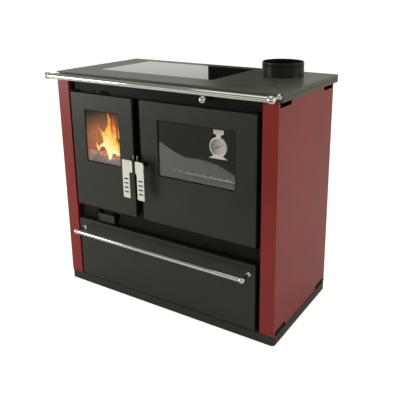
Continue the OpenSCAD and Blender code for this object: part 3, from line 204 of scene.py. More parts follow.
def makeDarkThing(name, finish, look, corners):
    material, tree = newMaterial(finish)
    skin = addNode(tree, "ShaderNodeBsdfDiffuse", {"Color": toLinear(look["colour"])})
    addNode(tree, "ShaderNodeOutputMaterial", {"Surface": skin})
    thing = meshObject(name, corners, [list(range(len(corners)))], [material])
    thing.visible_camera = False
    thing.visible_diffuse = False
    thing.visible_shadow = False
    return thing


def makeStudio(look):
    for name, box in look["softBoxes"].items():
        wide, high = box["size"]
        lamp = addLamp(name, "AREA", box["at"], box["light"] * math.pi * wide * high)
        lamp.data.shape = "RECTANGLE"
        lamp.data.size, lamp.data.size_y = wide, high
        aim = Vector(box["to"]) - Vector(box["at"])
        lamp.rotation_euler = aim.to_track_quat("-Z", "Y").to_euler()
        lamp.visible_glossy = box.get("inGloss", True)
    floor = makeFloor(look["floor"])
    cloth, card = look["cloth"], look["card"]
    darkThings = [
        makeDarkThing("darkCloth", "dark_cloth", cloth, [(x, y, cloth["high"]) for x, y in cloth["corners"]]),
        makeDarkThing("darkCard", "dark_card", card, [(x, card["behind"], z) for x, z in card["corners"]])]


makeWorld(studio)
makeStudio(studio)
print("studio ready")

# What each finish is made of. Sizes of the patterns are in millimetres.
finishes = {
    # powder coat on folded steel: a low satin skin with a fine orange peel
    "plinth_black": {"name": "black_powder_coat", "colour": "#1d1d17", "shade": "#171712", "patch": 60,
                     "grain": 1.4, "bump": 0.25, "relief": 0.10, "rough": (0.42, 0.52)},
    # baked enamel over sheet steel: deep red, half glossy, with a slow ripple
    "side_red": {"name": "red_baked_enamel", "colour": "#83100d", "shade": "#780f0c", "patch": 140,
                 "grain": 3.2, "bump": 0.10, "relief": 0.08, "rough": (0.32, 0.38)},
    # heat-proof satin paint on the pressed front: black, darkened further as painted shade for its recess
    # behind the doors, evenly dull
    "frame_black": {"name": "black_heat_paint", "colour": "#090905", "shade": "#070704", "patch": 50,
                    "grain": 1.0, "bump": 0.25, "relief": 0.06, "rough": (0.38, 0.46), "spec": 0.15},
    # mill-finished steel gone grey-blue with heat: cloudy, half dull
    "casing_steel": {"name": "blued_mill_steel", "colour": "#4b4b49", "shade": "#3a3a3a", "patch": 35,
                     "grain": 2.0, "bump": 0.2, "relief": 0.08, "rough": (0.45, 0.6), "metallic": 0.6},
    # hot-dip zinc: pale with crystal spangle
    "zinc_steel": {"name": "galvanised_steel", "colour": "#a9adac", "shade": "#8b9091", "patch": 14,
                   "cells": True, "grain": 1.0, "bump": 0.08, "relief": 0.05, "rough": (0.32, 0.48),
                   "metallic": 1.0},
    # painted cast iron, ground flat: warm grey-black with sand-fine tooth
    "hob_iron": {"name": "satin_cast_iron_paint", "colour": "#454537", "shade": "#3d3d31", "patch": 70,
                 "grain": 0.9, "bump": 0.35, "relief": 0.08, "rough": (0.30, 0.40)},
    # cast iron ground and blacked: a hair darker than the hob, with the same fine tooth
    "lid_iron": {"name": "ground_cast_iron", "colour": "#424235", "shade": "#3a3a2e", "patch": 40,
                 "grain": 0.9, "bump": 0.35, "relief": 0.08, "rough": (0.30, 0.42)},
    # ceramic pane: black glass with a mirror skin
    "hob_glass": {"name": "black_glass_ceramic", "colour": "#131310", "shade": "#10100e", "patch": 90,
                  "grain": 3.0, "bump": 0.01, "relief": 0.02, "rough": (0.03, 0.05), "ior": 1.55,
                  "coat": 0.12, "coatRough": 0.03},
    # high-temperature silicone: matt, slightly dusty; also used as painted shade in the lid's groove, the
    # handle slots and round the door panes
    "seal": {"name": "black_silicone", "colour": "#0e0e0c", "shade": "#0a0a09", "patch": 20,
             "grain": 0.8, "bump": 0.2, "relief": 0.05, "rough": (0.6, 0.75), "spec": 0.15},
    # cast collar in matt stove paint: soft, dark and dry
    "collar_black": {"name": "matt_stove_paint", "colour": "#0a0a05", "shade": "#080804", "patch": 30,
                     "grain": 1.1, "bump": 0.1, "relief": 0.04, "rough": (0.26, 0.33), "spec": 0.2},
    # vitreous oven enamel: black glass flecked with white specks
    "oven_enamel": {"name": "speckled_oven_enamel", "colour": "#10100b", "shade": "#0c0c08", "patch": 60,
                    "specks": {"colour": "#45453f", "apart": 4.5}, "grain": 2.4, "bump": 0.06,
                    "relief": 0.05, "rough": (0.2, 0.3), "spec": 0.12},
    # drawn wire with a dull nickel skin: pale at the front, painted darker farther in as painted shade inside
    # the oven
    "wire": {"name": "nickel_plated_wire", "colour": "#ffffff", "shade": "#f4f4ee", "patch": 8,
             "grain": 0.5, "bump": 0.05, "relief": 0.02, "rough": (0.6, 0.75), "spec": 0.05,
             "fade": {"axis": "Y", "colour": "#0b0b09", "from": -115.5, "to": -113}},
    # pressed vermiculite: buff board with flakes and pores, darkened towards the top as painted shade
    "firebrick": {"name": "vermiculite_board", "colour": "#c6a79b", "shade": "#a98a7c", "patch": 9,
                  "grain": 2.2, "bump": 0.7, "relief": 0.6, "rough": (0.85, 0.95),
                  "fade": {"axis": "Z", "colour": "#2e1307", "from": 615, "to": 692}},
    # raw sand-cast iron: grey-black, pitted and rust-warm
    "grate_iron": {"name": "raw_cast_iron", "colour": "#3c3835", "shade": "#2b2624", "patch": 12,
                   "grain": 1.6, "bump": 0.6, "relief": 0.25, "rough": (0.6, 0.78), "metallic": 0.35},
    # polished chrome tube: a mirror with hairline polish
    "rail_chrome": {"name": "polished_chrome", "colour": "#dcdcd8", "shade": "#d2d2ce", "patch": 30,
                    "grain": 0.5, "bump": 0.02, "relief": 0.01, "rough": (0.05, 0.10), "metallic": 1.0},
    # cold-drawn steel rod: grey metal, half polished
    "keeper_steel": {"name": "cold_drawn_steel", "colour": "#7d7d77", "shade": "#6b6b66", "patch": 10,
                     "grain": 0.6, "bump": 0.08, "relief": 0.03, "rough": (0.24, 0.34), "metallic": 1.0},
    # satin heat paint on the pressed doors: black with a broad soft sheen
    "door_black": {"name": "satin_door_paint", "colour": "#1c1c0f", "shade": "#17170c", "patch": 90,
                   "grain": 0.9, "bump": 0.22, "relief": 0.05, "rough": (0.36, 0.44)},
    # matt heat paint on the folded liners: an even, dull black with no highlight
    "liner_black": {"name": "matt_liner_paint", "colour": "#1b1b19", "shade": "#131312", "patch": 40,
                    "grain": 1.0, "bump": 0.3, "relief": 0.08, "rough": (0.5, 0.62)},
    # braided glass-fibre rope: charcoal yarns that catch light on each bundle
    "gasket": {"name": "glass_fibre_rope", "colour": "#4d4c48", "shade": "#2c2b29", "patch": 3,
               "grain": 0.7, "bump": 0.6, "relief": 0.3, "rough": (0.8, 0.92)},
    # sintered bronze soaked in oil and smoke: nearly black, dull, with a brown cast
    "bush_bronze": {"name": "oiled_sintered_bronze", "colour": "#221c14", "shade": "#18130d", "patch": 8,
                    "grain": 0.6, "bump": 0.08, "relief": 0.03, "rough": (0.36, 0.5), "metallic": 1.0},
    # chemically blackened steel: near black, with a faint oily sheen
    "latch_black": {"name": "blackened_steel", "colour": "#262622", "shade": "#1a1a17", "patch": 10,
                    "grain": 0.6, "bump": 0.08, "relief": 0.03, "rough": (0.34, 0.46), "metallic": 0.7},
    # brushed stainless: long upright scratches that spread the light
    "handle_steel": {"name": "brushed_stainless", "colour": "#f6f6ef", "shade": "#e9e9e1", "patch": 12,
                     "grain": 0.7, "stretch": (1, 1, 0.06), "bump": 0.15, "relief": 0.04,
                     "rough": (0.30, 0.42), "metallic": 1.0},
    # printed dial plate: pale lilac grey, dull, lighter towards its right side; its darker left is a painted
    # shadow of the case's rim
    "dial": {"name": "printed_dial", "colour": "#7f7a7d", "shade": "#777276", "patch": 14,
             "grain": 0.6, "bump": 0.05, "relief": 0.02, "rough": (0.4, 0.5),
             "fade": {"axis": "X", "colour": "#dcd7da", "from": 222, "to": 262}},
    # pressed case under clear lacquer: white metal, softly glossy
    "thermo_case": {"name": "lacquered_case_steel", "colour": "#fbfaf9", "shade": "#f0eeec", "patch": 16,
                    "grain": 0.6, "bump": 0.04, "relief": 0.02, "rough": (0.28, 0.38), "metallic": 0.1},
    # thin paint on the pointer and the dial's marks: soft black, hardly shiny
    "needle": {"name": "black_pointer_paint", "colour": "#171716", "shade": "#101010", "patch": 10,
               "grain": 0.6, "bump": 0.05, "relief": 0.02, "rough": (0.4, 0.5)},
    # chrome on a turned knob: a mirror a little darker and softer than the rails
    "knob_chrome": {"name": "chromed_knob", "colour": "#d6d6d1", "shade": "#c6c6c1", "patch": 14,
                    "grain": 0.5, "bump": 0.02, "relief": 0.01, "rough": (0.07, 0.13), "metallic": 1.0},
    # moulded phenolic grip: dark grey, dry, slightly granular
    "grip_black": {"name": "moulded_phenolic", "colour": "#1c1c17", "shade": "#171713", "patch": 16,
                   "grain": 1.2, "bump": 0.4, "relief": 0.1, "rough": (0.36, 0.48)},
    # oak split and burnt: black char that cracks into small blocks
    "char": {"name": "charred_oak", "colour": "#2a2320", "shade": "#120f0e", "patch": 9,
             "grain": 4.5, "bump": 0.9, "relief": 1.6, "rough": (0.8, 0.95)},
    # fine wood ash: pale grey, dusty
    "ash": {"name": "wood_ash", "colour": "#8a8580", "shade": "#5c5652", "patch": 7,
            "grain": 2.0, "bump": 0.8, "relief": 0.8, "rough": (0.9, 1.0)},
}


def makeFinish(look):
    material, tree = newMaterial(look["name"])
    where = addNode(tree, "ShaderNodeTexCoord").outputs["Object"]
    along = addNode(tree, "ShaderNodeMapping", {"Vector": where, "Scale": look.get("stretch", (1, 1, 1))})
    if look.get("cells"):
        cells = addNode(tree, "ShaderNodeTexVoronoi", {"Vector": along, "Scale": metre / look["patch"]})
        patches = addNode(tree, "ShaderNodeSeparateColor", {0: cells.outputs["Color"]})
    else:
        patches = addNode(tree, "ShaderNodeTexNoise", {
            "Vector": along, "Scale": metre / look["patch"], "Detail": 3, "Roughness": 0.6})
    grain = addNode(tree, "ShaderNodeTexNoise", {
        "Vector": along, "Scale": metre / look["grain"], "Detail": 2, "Roughness": 0.55})
    share = addNode(tree, "ShaderNodeMapRange", {"Value": patches, "From Min": 0.32, "From Max": 0.68})
    skin = addNode(tree, "ShaderNodeMix", {
        0: share, 6: toLinear(look["colour"]), 7: toLinear(look["shade"])}, data_type="RGBA").outputs[2]
    if "specks" in look:
        specks = look["specks"]
        dots = addNode(tree, "ShaderNodeTexVoronoi", {"Vector": where, "Scale": metre / specks["apart"]})
        near = addNode(tree, "ShaderNodeMapRange", {"Value": dots, "From Min": 0.17, "From Max": 0.12})
        skin = addNode(tree, "ShaderNodeMix", {
            0: near, 6: skin, 7: toLinear(specks["colour"])}, data_type="RGBA").outputs[2]
    # A blend towards a second colour along one axis: the wire, the vermiculite and the dial use it for
    # painted shade.
    if "fade" in look:
        fade = look["fade"]
        place = addNode(tree, "ShaderNodeSeparateXYZ", {0: where})
        reach = addNode(tree, "ShaderNodeMapRange", {
            "Value": place.outputs[fade["axis"]], "From Min": fade["from"] * mm, "From Max": fade["to"] * mm})
        skin = addNode(tree, "ShaderNodeMix", {
            0: reach, 6: skin, 7: toLinear(fade["colour"])}, data_type="RGBA").outputs[2]
    rough = addNode(tree, "ShaderNodeMapRange", {
        "Value": grain, "From Min": 0.3, "From Max": 0.7,
        "To Min": look["rough"][0], "To Max": look["rough"][1]})
    relief = addNode(tree, "ShaderNodeBump", {
        "Height": grain, "Strength": look["bump"], "Distance": look["relief"] * mm})
    shader = addNode(tree, "ShaderNodeBsdfPrincipled", {
        "Base Color": skin, "Roughness": rough, "Normal": relief, "Metallic": look.get("metallic", 0.0),
        "Coat Weight": look.get("coat", 0.0), "Coat Roughness": look.get("coatRough", 0.12),
        "Specular IOR Level": look.get("spec", 0.5)})
    if "ior" in look:
        shader.inputs["IOR"].default_value = look["ior"]
    addNode(tree, "ShaderNodeOutputMaterial", {"Surface": shader})
    return material


paint = {slotName: makeFinish(look) for slotName, look in finishes.items()}

# Door panes are clear ceramic glass: lamps reach what is behind them, and the skin reflects.
paneGlass = {"colour": "#f4f3ee", "toLamps": "#e8e6e0", "ior": 1.52, "rough": 0.01, "coat": 0.7,
             "coatRough": 0.01, "ripple": 45, "bump": 0.08, "relief": 0.25}


def makePaneGlass(look):
    material, tree = newMaterial("clear_ceramic_glass")
    where = addNode(tree, "ShaderNodeTexCoord")
    ripple = addNode(tree, "ShaderNodeTexNoise", {
        "Vector": where.outputs["Object"], "Scale": metre / look["ripple"], "Detail": 1})
    relief = addNode(tree, "ShaderNodeBump", {
        "Height": ripple, "Strength": look["bump"], "Distance": look["relief"] * mm})
    shader = addNode(tree, "ShaderNodeBsdfPrincipled", {
        "Base Color": toLinear(look["colour"]), "Roughness": look["rough"], "IOR": look["ior"],
        "Coat Weight": look["coat"], "Coat Roughness": look["coatRough"], "Transmission Weight": 1.0,
        "Normal": relief})
    clear = addNode(tree, "ShaderNodeBsdfTransparent", {"Color": toLinear(look["toLamps"])})
    path = addNode(tree, "ShaderNodeLightPath")
    both = addNode(tree, "ShaderNodeMixShader", {0: path.outputs["Is Shadow Ray"], 1: shader, 2: clear})
    addNode(tree, "ShaderNodeOutputMaterial", {"Surface": both})
    return material


paint["door_glass"] = makePaneGlass(paneGlass)

# Burning gas: pale yellow at the root, orange above, thin at its edges and tips. Its UV
# map "along" holds how far the gas has cooled at a point in U, and how deep it is there in V.
flameLook = {"stops": [(0.28, "#fff3b0"), (0.52, "#ffd25c"), (0.75, "#fa9a32"), (1.0, "#c44e1c")],
             "glow": 1.3, "wisp": 15, "stir": 0.6, "solid": 0.92,
             "tips": {"from": 0.6, "to": 1.2, "left": 0.25}}


def makeFlame(look):
    material, tree = newMaterial("burning_gas")
    where = addNode(tree, "ShaderNodeTexCoord")
    span = addNode(tree, "ShaderNodeUVMap", uv_map="along")
    split = addNode(tree, "ShaderNodeSeparateXYZ", {0: span})
    wisps = addNode(tree, "ShaderNodeTexNoise", {
        "Vector": where.outputs["Object"], "Scale": metre / look["wisp"], "Detail": 2, "Distortion": 0.8})
    heat = addNode(tree, "ShaderNodeMath", {
        0: wisps, 1: look["stir"], 2: -look["stir"] / 2}, operation="MULTIPLY_ADD")
    cooled = addNode(tree, "ShaderNodeMath", {0: split.outputs["X"], 1: heat}, operation="ADD")
    ramp = addNode(tree, "ShaderNodeValToRGB", {"Fac": cooled})
    stops = ramp.color_ramp.elements
    for i, (position, colour) in enumerate(look["stops"]):
        stop = stops[i] if i < len(stops) else stops.new(position)
        stop.position = position
        stop.color = toLinear(colour)
    glow = addNode(tree, "ShaderNodeEmission", {"Color": ramp, "Strength": look["glow"]})
    solid = addNode(tree, "ShaderNodeMapRange", {
        "Value": split.outputs["Y"], "From Max": 0.5, "To Max": look["solid"]})
    tips = look["tips"]
    fade = addNode(tree, "ShaderNodeMapRange", {
        "Value": cooled, "From Min": tips["from"], "From Max": tips["to"], "To Min": 1.0,
        "To Max": tips["left"]})
    thick = addNode(tree, "ShaderNodeMath", {0: solid, 1: fade}, operation="MULTIPLY", use_clamp=True)
    clear = addNode(tree, "ShaderNodeBsdfTransparent")
    both = addNode(tree, "ShaderNodeMixShader", {0: thick, 1: clear, 2: glow})
    addNode(tree, "ShaderNodeOutputMaterial", {"Surface": both})
    return material


flamePaint = makeFlame(flameLook)

# Live embers: char split by cracks that glow pink-orange.
emberLook = {"char": "#7a4a44", "glowColour": "#ff8470", "glow": 1.5, "crack": 8, "patch": 40, "rough": 0.9}


def makeEmber(look):
    material, tree = newMaterial("glowing_embers")
    where = addNode(tree, "ShaderNodeTexCoord").outputs["Object"]
    cells = addNode(tree, "ShaderNodeTexVoronoi", {"Vector": where, "Scale": metre / look["crack"]},
                    feature="DISTANCE_TO_EDGE")
    warmth = addNode(tree, "ShaderNodeTexNoise", {
        "Vector": where, "Scale": metre / look["patch"], "Detail": 2})
    crack = addNode(tree, "ShaderNodeMapRange", {
        "Value": cells, "From Min": 0.0, "From Max": 0.28, "To Min": 1.0, "To Max": 0.12})
    hot = addNode(tree, "ShaderNodeMapRange", {
        "Value": warmth, "From Min": 0.4, "From Max": 0.6, "To Max": look["glow"]})
    strength = addNode(tree, "ShaderNodeMath", {0: crack, 1: hot}, operation="MULTIPLY")
    shader = addNode(tree, "ShaderNodeBsdfPrincipled", {
        "Base Color": toLinear(look["char"]), "Roughness": look["rough"],
        "Emission Color": toLinear(look["glowColour"]), "Emission Strength": strength})
    addNode(tree, "ShaderNodeOutputMaterial", {"Surface": shader})
    return material


emberPaint = makeEmber(emberLook)
print("materials ready:", len(paint) + 2)


def applyModifiers(thing):
    bpy.context.view_layer.update()
    graph = bpy.context.evaluated_depsgraph_get()
    mesh = bpy.data.meshes.new_from_object(thing.evaluated_get(graph), depsgraph=graph)
    thing.modifiers.clear()
    if thing.type == "MESH":
        old = thing.data
        thing.data = mesh
        mesh.name = thing.name
        bpy.data.meshes.remove(old)
        return thing
    name = thing.name
    bpy.data.objects.remove(thing)
    return placeObject(name, mesh)


def smoothShade(thing, angle=32):
    thing.data.shade_smooth()
    thing.data.set_sharp_from_angle(angle=math.radians(angle))
    even = thing.modifiers.new("evenNormals", "WEIGHTED_NORMAL")
    even.keep_sharp = True
    even.weight = 60
    return applyModifiers(thing)


def putOn(thing, body, standsFor=()):
    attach(thing, body)
    if standsFor:
        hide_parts(*standsFor)
    return thing


# Opens a mesh for changes and writes them back to the piece.
@contextmanager
def changing(piece, source=None):
    work = bmesh.new()
    work.from_mesh((source or piece).data)
    yield work
    work.to_mesh(piece.data)
    work.free()


def roundEdges(work, edges, width, steps):
    bmesh.ops.bevel(work, geom=edges, offset=width * mm, offset_type="OFFSET", segments=steps, profile=0.5,
                    affect="EDGES", clamp_overlap=True)


def faceOutwards(piece):
    with changing(piece) as work:
        bmesh.ops.recalc_face_normals(work, faces=work.faces)
    return piece


# A dressed copy of a CAD node: one closed mesh whose outer edges are rounded.
def dressNode(pieceName, nodeName, roundings):
    piece = meshObject(pieceName, [], [], [paint[slotOf[nodeName]]])
    with changing(piece, nodes[nodeName]) as work:
        bmesh.ops.remove_doubles(work, verts=work.verts, dist=0.01 * mm)
        bmesh.ops.dissolve_limit(work, angle_limit=math.radians(0.6), verts=work.verts, edges=work.edges)
        for width, wanted in roundings:
            edges = [e for e in work.edges
                     if len(e.link_faces) == 2 and e.calc_face_angle(0) > math.radians(35)
                     and wanted((e.verts[0].co + e.verts[1].co) / 2 / mm)]
            if edges:
                roundEdges(work, edges, width, 3)
        for face in work.faces:
            face.material_index = 0
    smoothShade(piece)
    return putOn(piece, bodyOf[nodeName], (nodeName,))


def everywhere(point):
    return True


lidCentre = Vector((297, -97))
doors = {"middle": 562, "halfHeight": 217, "front": -241.5, "rim": 2.4, "window": 0.6}


def fromLid(p):
    return math.hypot(p.x - lidCentre.x, p.y - lidCentre.y)


# The pressed front of a door: broad outer edges, fine ones round its window.
def doorEdges(middle, half, look):
    def onRim(p):
        return abs(p.x - middle) > half or abs(p.z - look["middle"]) > look["halfHeight"]
    return [(look["rim"], lambda p: p.y < look["front"] and onRim(p)),
            (look["window"], lambda p: p.y < look["front"] and not onRim(p))]


# Width in millimetres of the rounded edges, and which edges get it.
dressing = {
    "plinthFrame": ("plinth", [(1.2, lambda p: p.z > 32 or p.z < 1)]),
    "leftSidePanel": ("left_side_panel", [(0.5, everywhere)]),
    "rightSidePanel": ("right_side_panel", [(0.5, everywhere)]),
    "frontFrame": ("front_frame", [(0.5, lambda p: p.y < -218)]),
    "hobPlate": ("hob_frame", [
        (11, lambda p: p.y > 231 and abs(p.x) > 469 and 824 < p.z < 849),
        (2.4, lambda p: p.z > 849 and (abs(p.x) > 466 or abs(p.y) > 229)),
        (1.3, lambda p: p.z > 849 and fromLid(p) < 80),
        (0.8, lambda p: p.z > 849 and abs(p.x) < 466 and abs(p.y) < 229 and fromLid(p) > 80),
        (0.6, lambda p: p.z < 824)]),
    "hobPane": ("hob_glass", [(0.5, lambda p: p.z > 849)]),
    "roundLid": ("round_lid", [(1.3, lambda p: p.z > 849)]),
    "latchKeeper": ("latch_keeper", [(0.4, everywhere)]),
    "hobRail": ("hob_rail", []),
    "hobRailEnds": ("hob_rail_ends", []),
    "hobRailBrackets": ("hob_rail_brackets", [(0.6, everywhere)]),
    "drawerRail": ("drawer_rail", []),
    "drawerRailEnds": ("drawer_rail_ends", []),
    "drawerRailBrackets": ("drawer_rail_brackets", [(0.6, everywhere)]),
    "damperKnob": ("damper_knob", []),
    "damperBush": ("damper_bush", [(0.3, everywhere)]),
    "damperRod": ("damper_rod", [(0.4, everywhere)]),
    "fireDoorPanel": ("fire_door_panel", doorEdges(-246, 144, doors)),
    "ovenDoorPanel": ("oven_door_panel", doorEdges(163, 227, doors)),
    "drawerFront": ("drawer_front", [(2.4, lambda p: p.y < -241.5)]),
    "fireLatch": ("fire_latch", [(0.3, everywhere)]),
    "ovenLatch": ("oven_latch", [(0.3, everywhere)]),
    "airGrip": ("air_slider_grip", [(1.2, lambda p: p.y < -231)]),
    "washTab": ("air_wash_slider", [(0.5, lambda p: p.y < -234)]),
    "hearthPlate": ("hearth_plate", [(1.0, everywhere)]),
    "grateBars": ("grate", [(1.0, everywhere)]),
    "ashPan": ("ash_pan", [(0.4, everywhere)]),
    "sootHatch": ("soot_hatch", [(0.5, lambda p: p.y < -221)]),
    "hingeBrackets": ("hinge_brackets", [(0.4, everywhere)]),
}
for pieceName, (nodeName, roundings) in dressing.items():
    dressNode(pieceName, nodeName, roundings)


def paintWhere(pieceName, material, wanted):
    mesh = bpy.data.objects[pieceName].data
    mesh.materials.append(material)
    for face in mesh.polygons:
        if wanted(face.center / mm, face.normal):
            face.material_index = len(mesh.materials) - 1


# The keeper's foot is painted over with the frame. Its fingers take black painted shade on all but their
# front faces, which take bright steel as a painted highlight. The groove around the lid is painted shade.
paintWhere("latchKeeper", paint["latch_black"], lambda p, n: n.y > -0.6 or p.y > -253)
paintWhere("latchKeeper", paint["handle_steel"], lambda p, n: n.y < -0.6 and p.y < -253)
paintWhere("latchKeeper", paint["frame_black"], lambda p, n: p.y > -222)
# The dark seal finish on the ring of faces round the lid's groove is painted shade in the crease.
for pieceName in ("hobPlate", "roundLid"):
    paintWhere(pieceName, paint["seal"], lambda p, n: p.z > 845 and n.z < 0.97 and 72 < fromLid(p) < 78)
print("dressed pieces ready:", len(dressing))


# Geometry Nodes trees: each takes a geometry and its sizes, and gives one mesh in one finish.
def startTree(name, item, sizes):
    tree = bpy.data.node_groups.new(name, "GeometryNodeTree")
    for label, kind in {item: "Geometry", **sizes, "Finish": "Material"}.items():
        tree.interface.new_socket(label, in_out="INPUT", socket_type="NodeSocket" + kind)
    tree.interface.new_socket("Result", in_out="OUTPUT", socket_type="NodeSocketGeometry")
    return tree, addNode(tree, "NodeGroupInput").outputs


def endTree(tree, shape, finish):
    whole = addNode(tree, "GeometryNodeRealizeInstances", {"Geometry": shape})
    coated = addNode(tree, "GeometryNodeSetMaterial", {"Geometry": whole, "Material": finish})
    addNode(tree, "NodeGroupOutput", {0: coated})
    return tree


# Repeats one item along a row and the row along a second step.
def rowTree():
    tree, given = startTree("repeatInRows", "Item", {
        "Count": "Int", "Step": "Vector", "Rows": "Int", "Row Step": "Vector"})
    row = addNode(tree, "GeometryNodeMeshLine", {"Count": given["Count"], "Offset": given["Step"]})
    rows = addNode(tree, "GeometryNodeMeshLine", {"Count": given["Rows"], "Offset": given["Row Step"]})
    field = addNode(tree, "GeometryNodeInstanceOnPoints", {"Points": rows, "Instance": row})
    points = addNode(tree, "GeometryNodeRealizeInstances", {"Geometry": field})
    items = addNode(tree, "GeometryNodeInstanceOnPoints", {"Points": points, "Instance": given["Item"]})
    return endTree(tree, items, given["Finish"])


# Sets one item round a circle about the Y axis, between two turns in degrees.
def ringTree():
    tree, given = startTree("repeatInRing", "Item", {
        "Count": "Int", "Centre": "Vector", "First Turn": "Float", "Turn Step": "Float"})
    spots = addNode(tree, "GeometryNodeMeshLine", {
        "Count": given["Count"], "Start Location": given["Centre"], "Offset": (0, 0, 0)})
    index = addNode(tree, "GeometryNodeInputIndex")
    turn = addNode(tree, "ShaderNodeMath", {
        0: index, 1: given["Turn Step"], 2: given["First Turn"]}, operation="MULTIPLY_ADD")
    angle = addNode(tree, "ShaderNodeMath", {0: turn}, operation="RADIANS")
    spin = addNode(tree, "ShaderNodeCombineXYZ", {"Y": angle})
    items = addNode(tree, "GeometryNodeInstanceOnPoints", {
        "Points": spots, "Instance": given["Item"], "Rotation": spin})
    return endTree(tree, items, given["Finish"])


# Lays twisted strands along a closed wire of edges, as a braided rope.
def ropeTree():
    tree, given = startTree("twistedRope", "Path", {
        "Strands": "Int", "Strand Radius": "Float", "Rope Radius": "Float", "Turns": "Float",
        "Spacing": "Float"})
    path = addNode(tree, "GeometryNodeMeshToCurve", {"Mesh": given["Path"]})
    even = addNode(tree, "GeometryNodeResampleCurve", {"Curve": path, "Length": given["Spacing"]},
                   mode="LENGTH")
    strands = addNode(tree, "GeometryNodeDuplicateElements", {
        "Geometry": even, "Amount": given["Strands"]}, domain="SPLINE")
    along = addNode(tree, "GeometryNodeSplineParameter")
    tangent = addNode(tree, "GeometryNodeInputTangent")
    side = addNode(tree, "ShaderNodeVectorMath", {0: tangent, 1: (0, 1, 0)}, operation="CROSS_PRODUCT")
    lead = addNode(tree, "ShaderNodeMath", {
        0: strands.outputs["Duplicate Index"], 1: given["Strands"]}, operation="DIVIDE")
    turns = addNode(tree, "ShaderNodeMath", {0: along, 1: given["Turns"], 2: lead}, operation="MULTIPLY_ADD")
    angle = addNode(tree, "ShaderNodeMath", {0: turns, 1: 2 * math.pi}, operation="MULTIPLY")
    cosine = addNode(tree, "ShaderNodeMath", {0: angle}, operation="COSINE")
    sine = addNode(tree, "ShaderNodeMath", {0: angle}, operation="SINE")
    sideways = addNode(tree, "ShaderNodeVectorMath", {0: side, "Scale": cosine}, operation="SCALE")
    upright = addNode(tree, "ShaderNodeCombineXYZ", {"Y": sine})
    both = addNode(tree, "ShaderNodeVectorMath", {0: sideways, 1: upright}, operation="ADD")
    shift = addNode(tree, "ShaderNodeVectorMath", {0: both, "Scale": given["Rope Radius"]}, operation="SCALE")
    moved = addNode(tree, "GeometryNodeSetPosition", {"Geometry": strands, "Offset": shift})
    profile = addNode(tree, "GeometryNodeCurvePrimitiveCircle", {
        "Resolution": 8, "Radius": given["Strand Radius"]})
    mesh = addNode(tree, "GeometryNodeCurveToMesh", {"Curve": moved, "Profile Curve": profile})
    return endTree(tree, mesh, given["Finish"])


trees = {"rows": rowTree(), "ring": ringTree(), "rope": ropeTree()}


def grow(thing, tree, values):
    growth = thing.modifiers.new(tree.name, "NODES")
    growth.node_group = tree
    ids = {item.name: item.identifier for item in tree.interface.items_tree if item.in_out == "INPUT"}
    for label, value in values.items():
        growth[ids[label]] = value
    return applyModifiers(thing)


# Repeats an item, with its steps in millimetres.
def inRows(item, material, count, step, rows=1, rowStep=(0, 0, 0)):
    return grow(item, trees["rows"], {
        "Count": count, "Step": [c * mm for c in step], "Rows": rows,
        "Row Step": [c * mm for c in rowStep], "Finish": material})


# A box with rounded edges, by its low and high corners in millimetres.
def roundedBlock(name, low, high, edge, materials, steps=2):
    piece = meshObject(name, [], [], materials)
    size = Vector(high) - Vector(low)
    middle = (Vector(high) + Vector(low)) / 2
    with changing(piece) as work:
        bmesh.ops.create_cube(work, size=1)
        bmesh.ops.transform(work, verts=work.verts, matrix=Matrix.Translation(middle * mm)
                            @ Matrix.Diagonal((*(size * mm), 1)))
        roundEdges(work, work.edges[:], edge, steps)
    return piece


# Faces between rings of points that all have the same number of sides.
def tubeFaces(rings, sides, closed=False):
    faces = []
    for j in range(rings - 1):
        for i in range(sides):
            k = (i + 1) % sides
            faces.append([j * sides + i, j * sides + k, (j + 1) * sides + k, (j + 1) * sides + i])
    if closed:
        faces.append(list(range(sides))[::-1])
        faces.append([(rings - 1) * sides + i for i in range(sides)])
    return faces


# A shape turned on a lathe: (radius, height) pairs in millimetres about an axis.
def turned(name, outline, centre, axis, materials, steps=64):
    points = []
    lift = Vector(axis).normalized()
    out = lift.orthogonal().normalized()
    across = lift.cross(out)
    for radius, height in outline:
        for i in range(steps):
            a = 2 * math.pi * i / steps
            spot = Vector(centre) + lift * height + (out * math.cos(a) + across * math.sin(a)) * radius
            points.append(spot * mm)
    piece = meshObject(name, points, tubeFaces(len(outline), steps), materials)
    with changing(piece) as work:
        bmesh.ops.remove_doubles(work, verts=work.verts, dist=0.005 * mm)
        bmesh.ops.dissolve_degenerate(work, edges=work.edges, dist=0.002 * mm)
    return faceOutwards(piece)


def joinPieces(name, pieces):
    work = bmesh.new()
    for piece in pieces:
        work.from_mesh(piece.data)
    joined = meshObject(name, [], [], pieces[0].data.materials)
    work.to_mesh(joined.data)
    work.free()
    for piece in pieces:
        bpy.data.objects.remove(piece)
    return joined


# Cast flue collar: a turned ring with a machined bead under its rim.
collar = {"at": (306, 110, 845), "outer": 75, "inner": 70, "height": 55, "foot": 80, "footHeight": 5}


def makeCollar(look):
    r, bore, top = look["outer"], look["inner"], look["height"]
    foot, footTop = look["foot"], look["footHeight"]
    outline = [
        (bore, 0), (foot - 0.8, 0), (foot, 0.8), (foot, footTop - 1.5), (foot - 1.5, footTop),
        (r + 1.2, footTop), (r, footTop + 1.4), (r - 0.6, top - 14), (r - 0.6, top - 11), (r, top - 10),
        (r, top - 7.4), (r - 0.7, top - 6.6), (r - 0.7, top - 2), (r - 1.2, top - 0.6), (r - 2.2, top),
        (bore + 1.2, top), (bore, top - 1.2), (bore, 0)]
    piece = turned("flueCollar", outline, look["at"], (0, 0, 1), [paint["collar_black"]], 96)
    putOn(smoothShade(piece, 40), "stove", ("flue_collar",))


makeCollar(collar)

# Vermiculite boards stand side by side in the firebox, a hair apart.
brickwork = {"gap": 1.2, "edge": 2.0, "low": 449, "high": 741, "front": -213, "back": 193,
             "sides": {"left": (-401, -363), "right": (-133, -95)}, "sideCount": 4,
             "rear": (-363, -133), "rearFront": 155, "rearCount": 2}


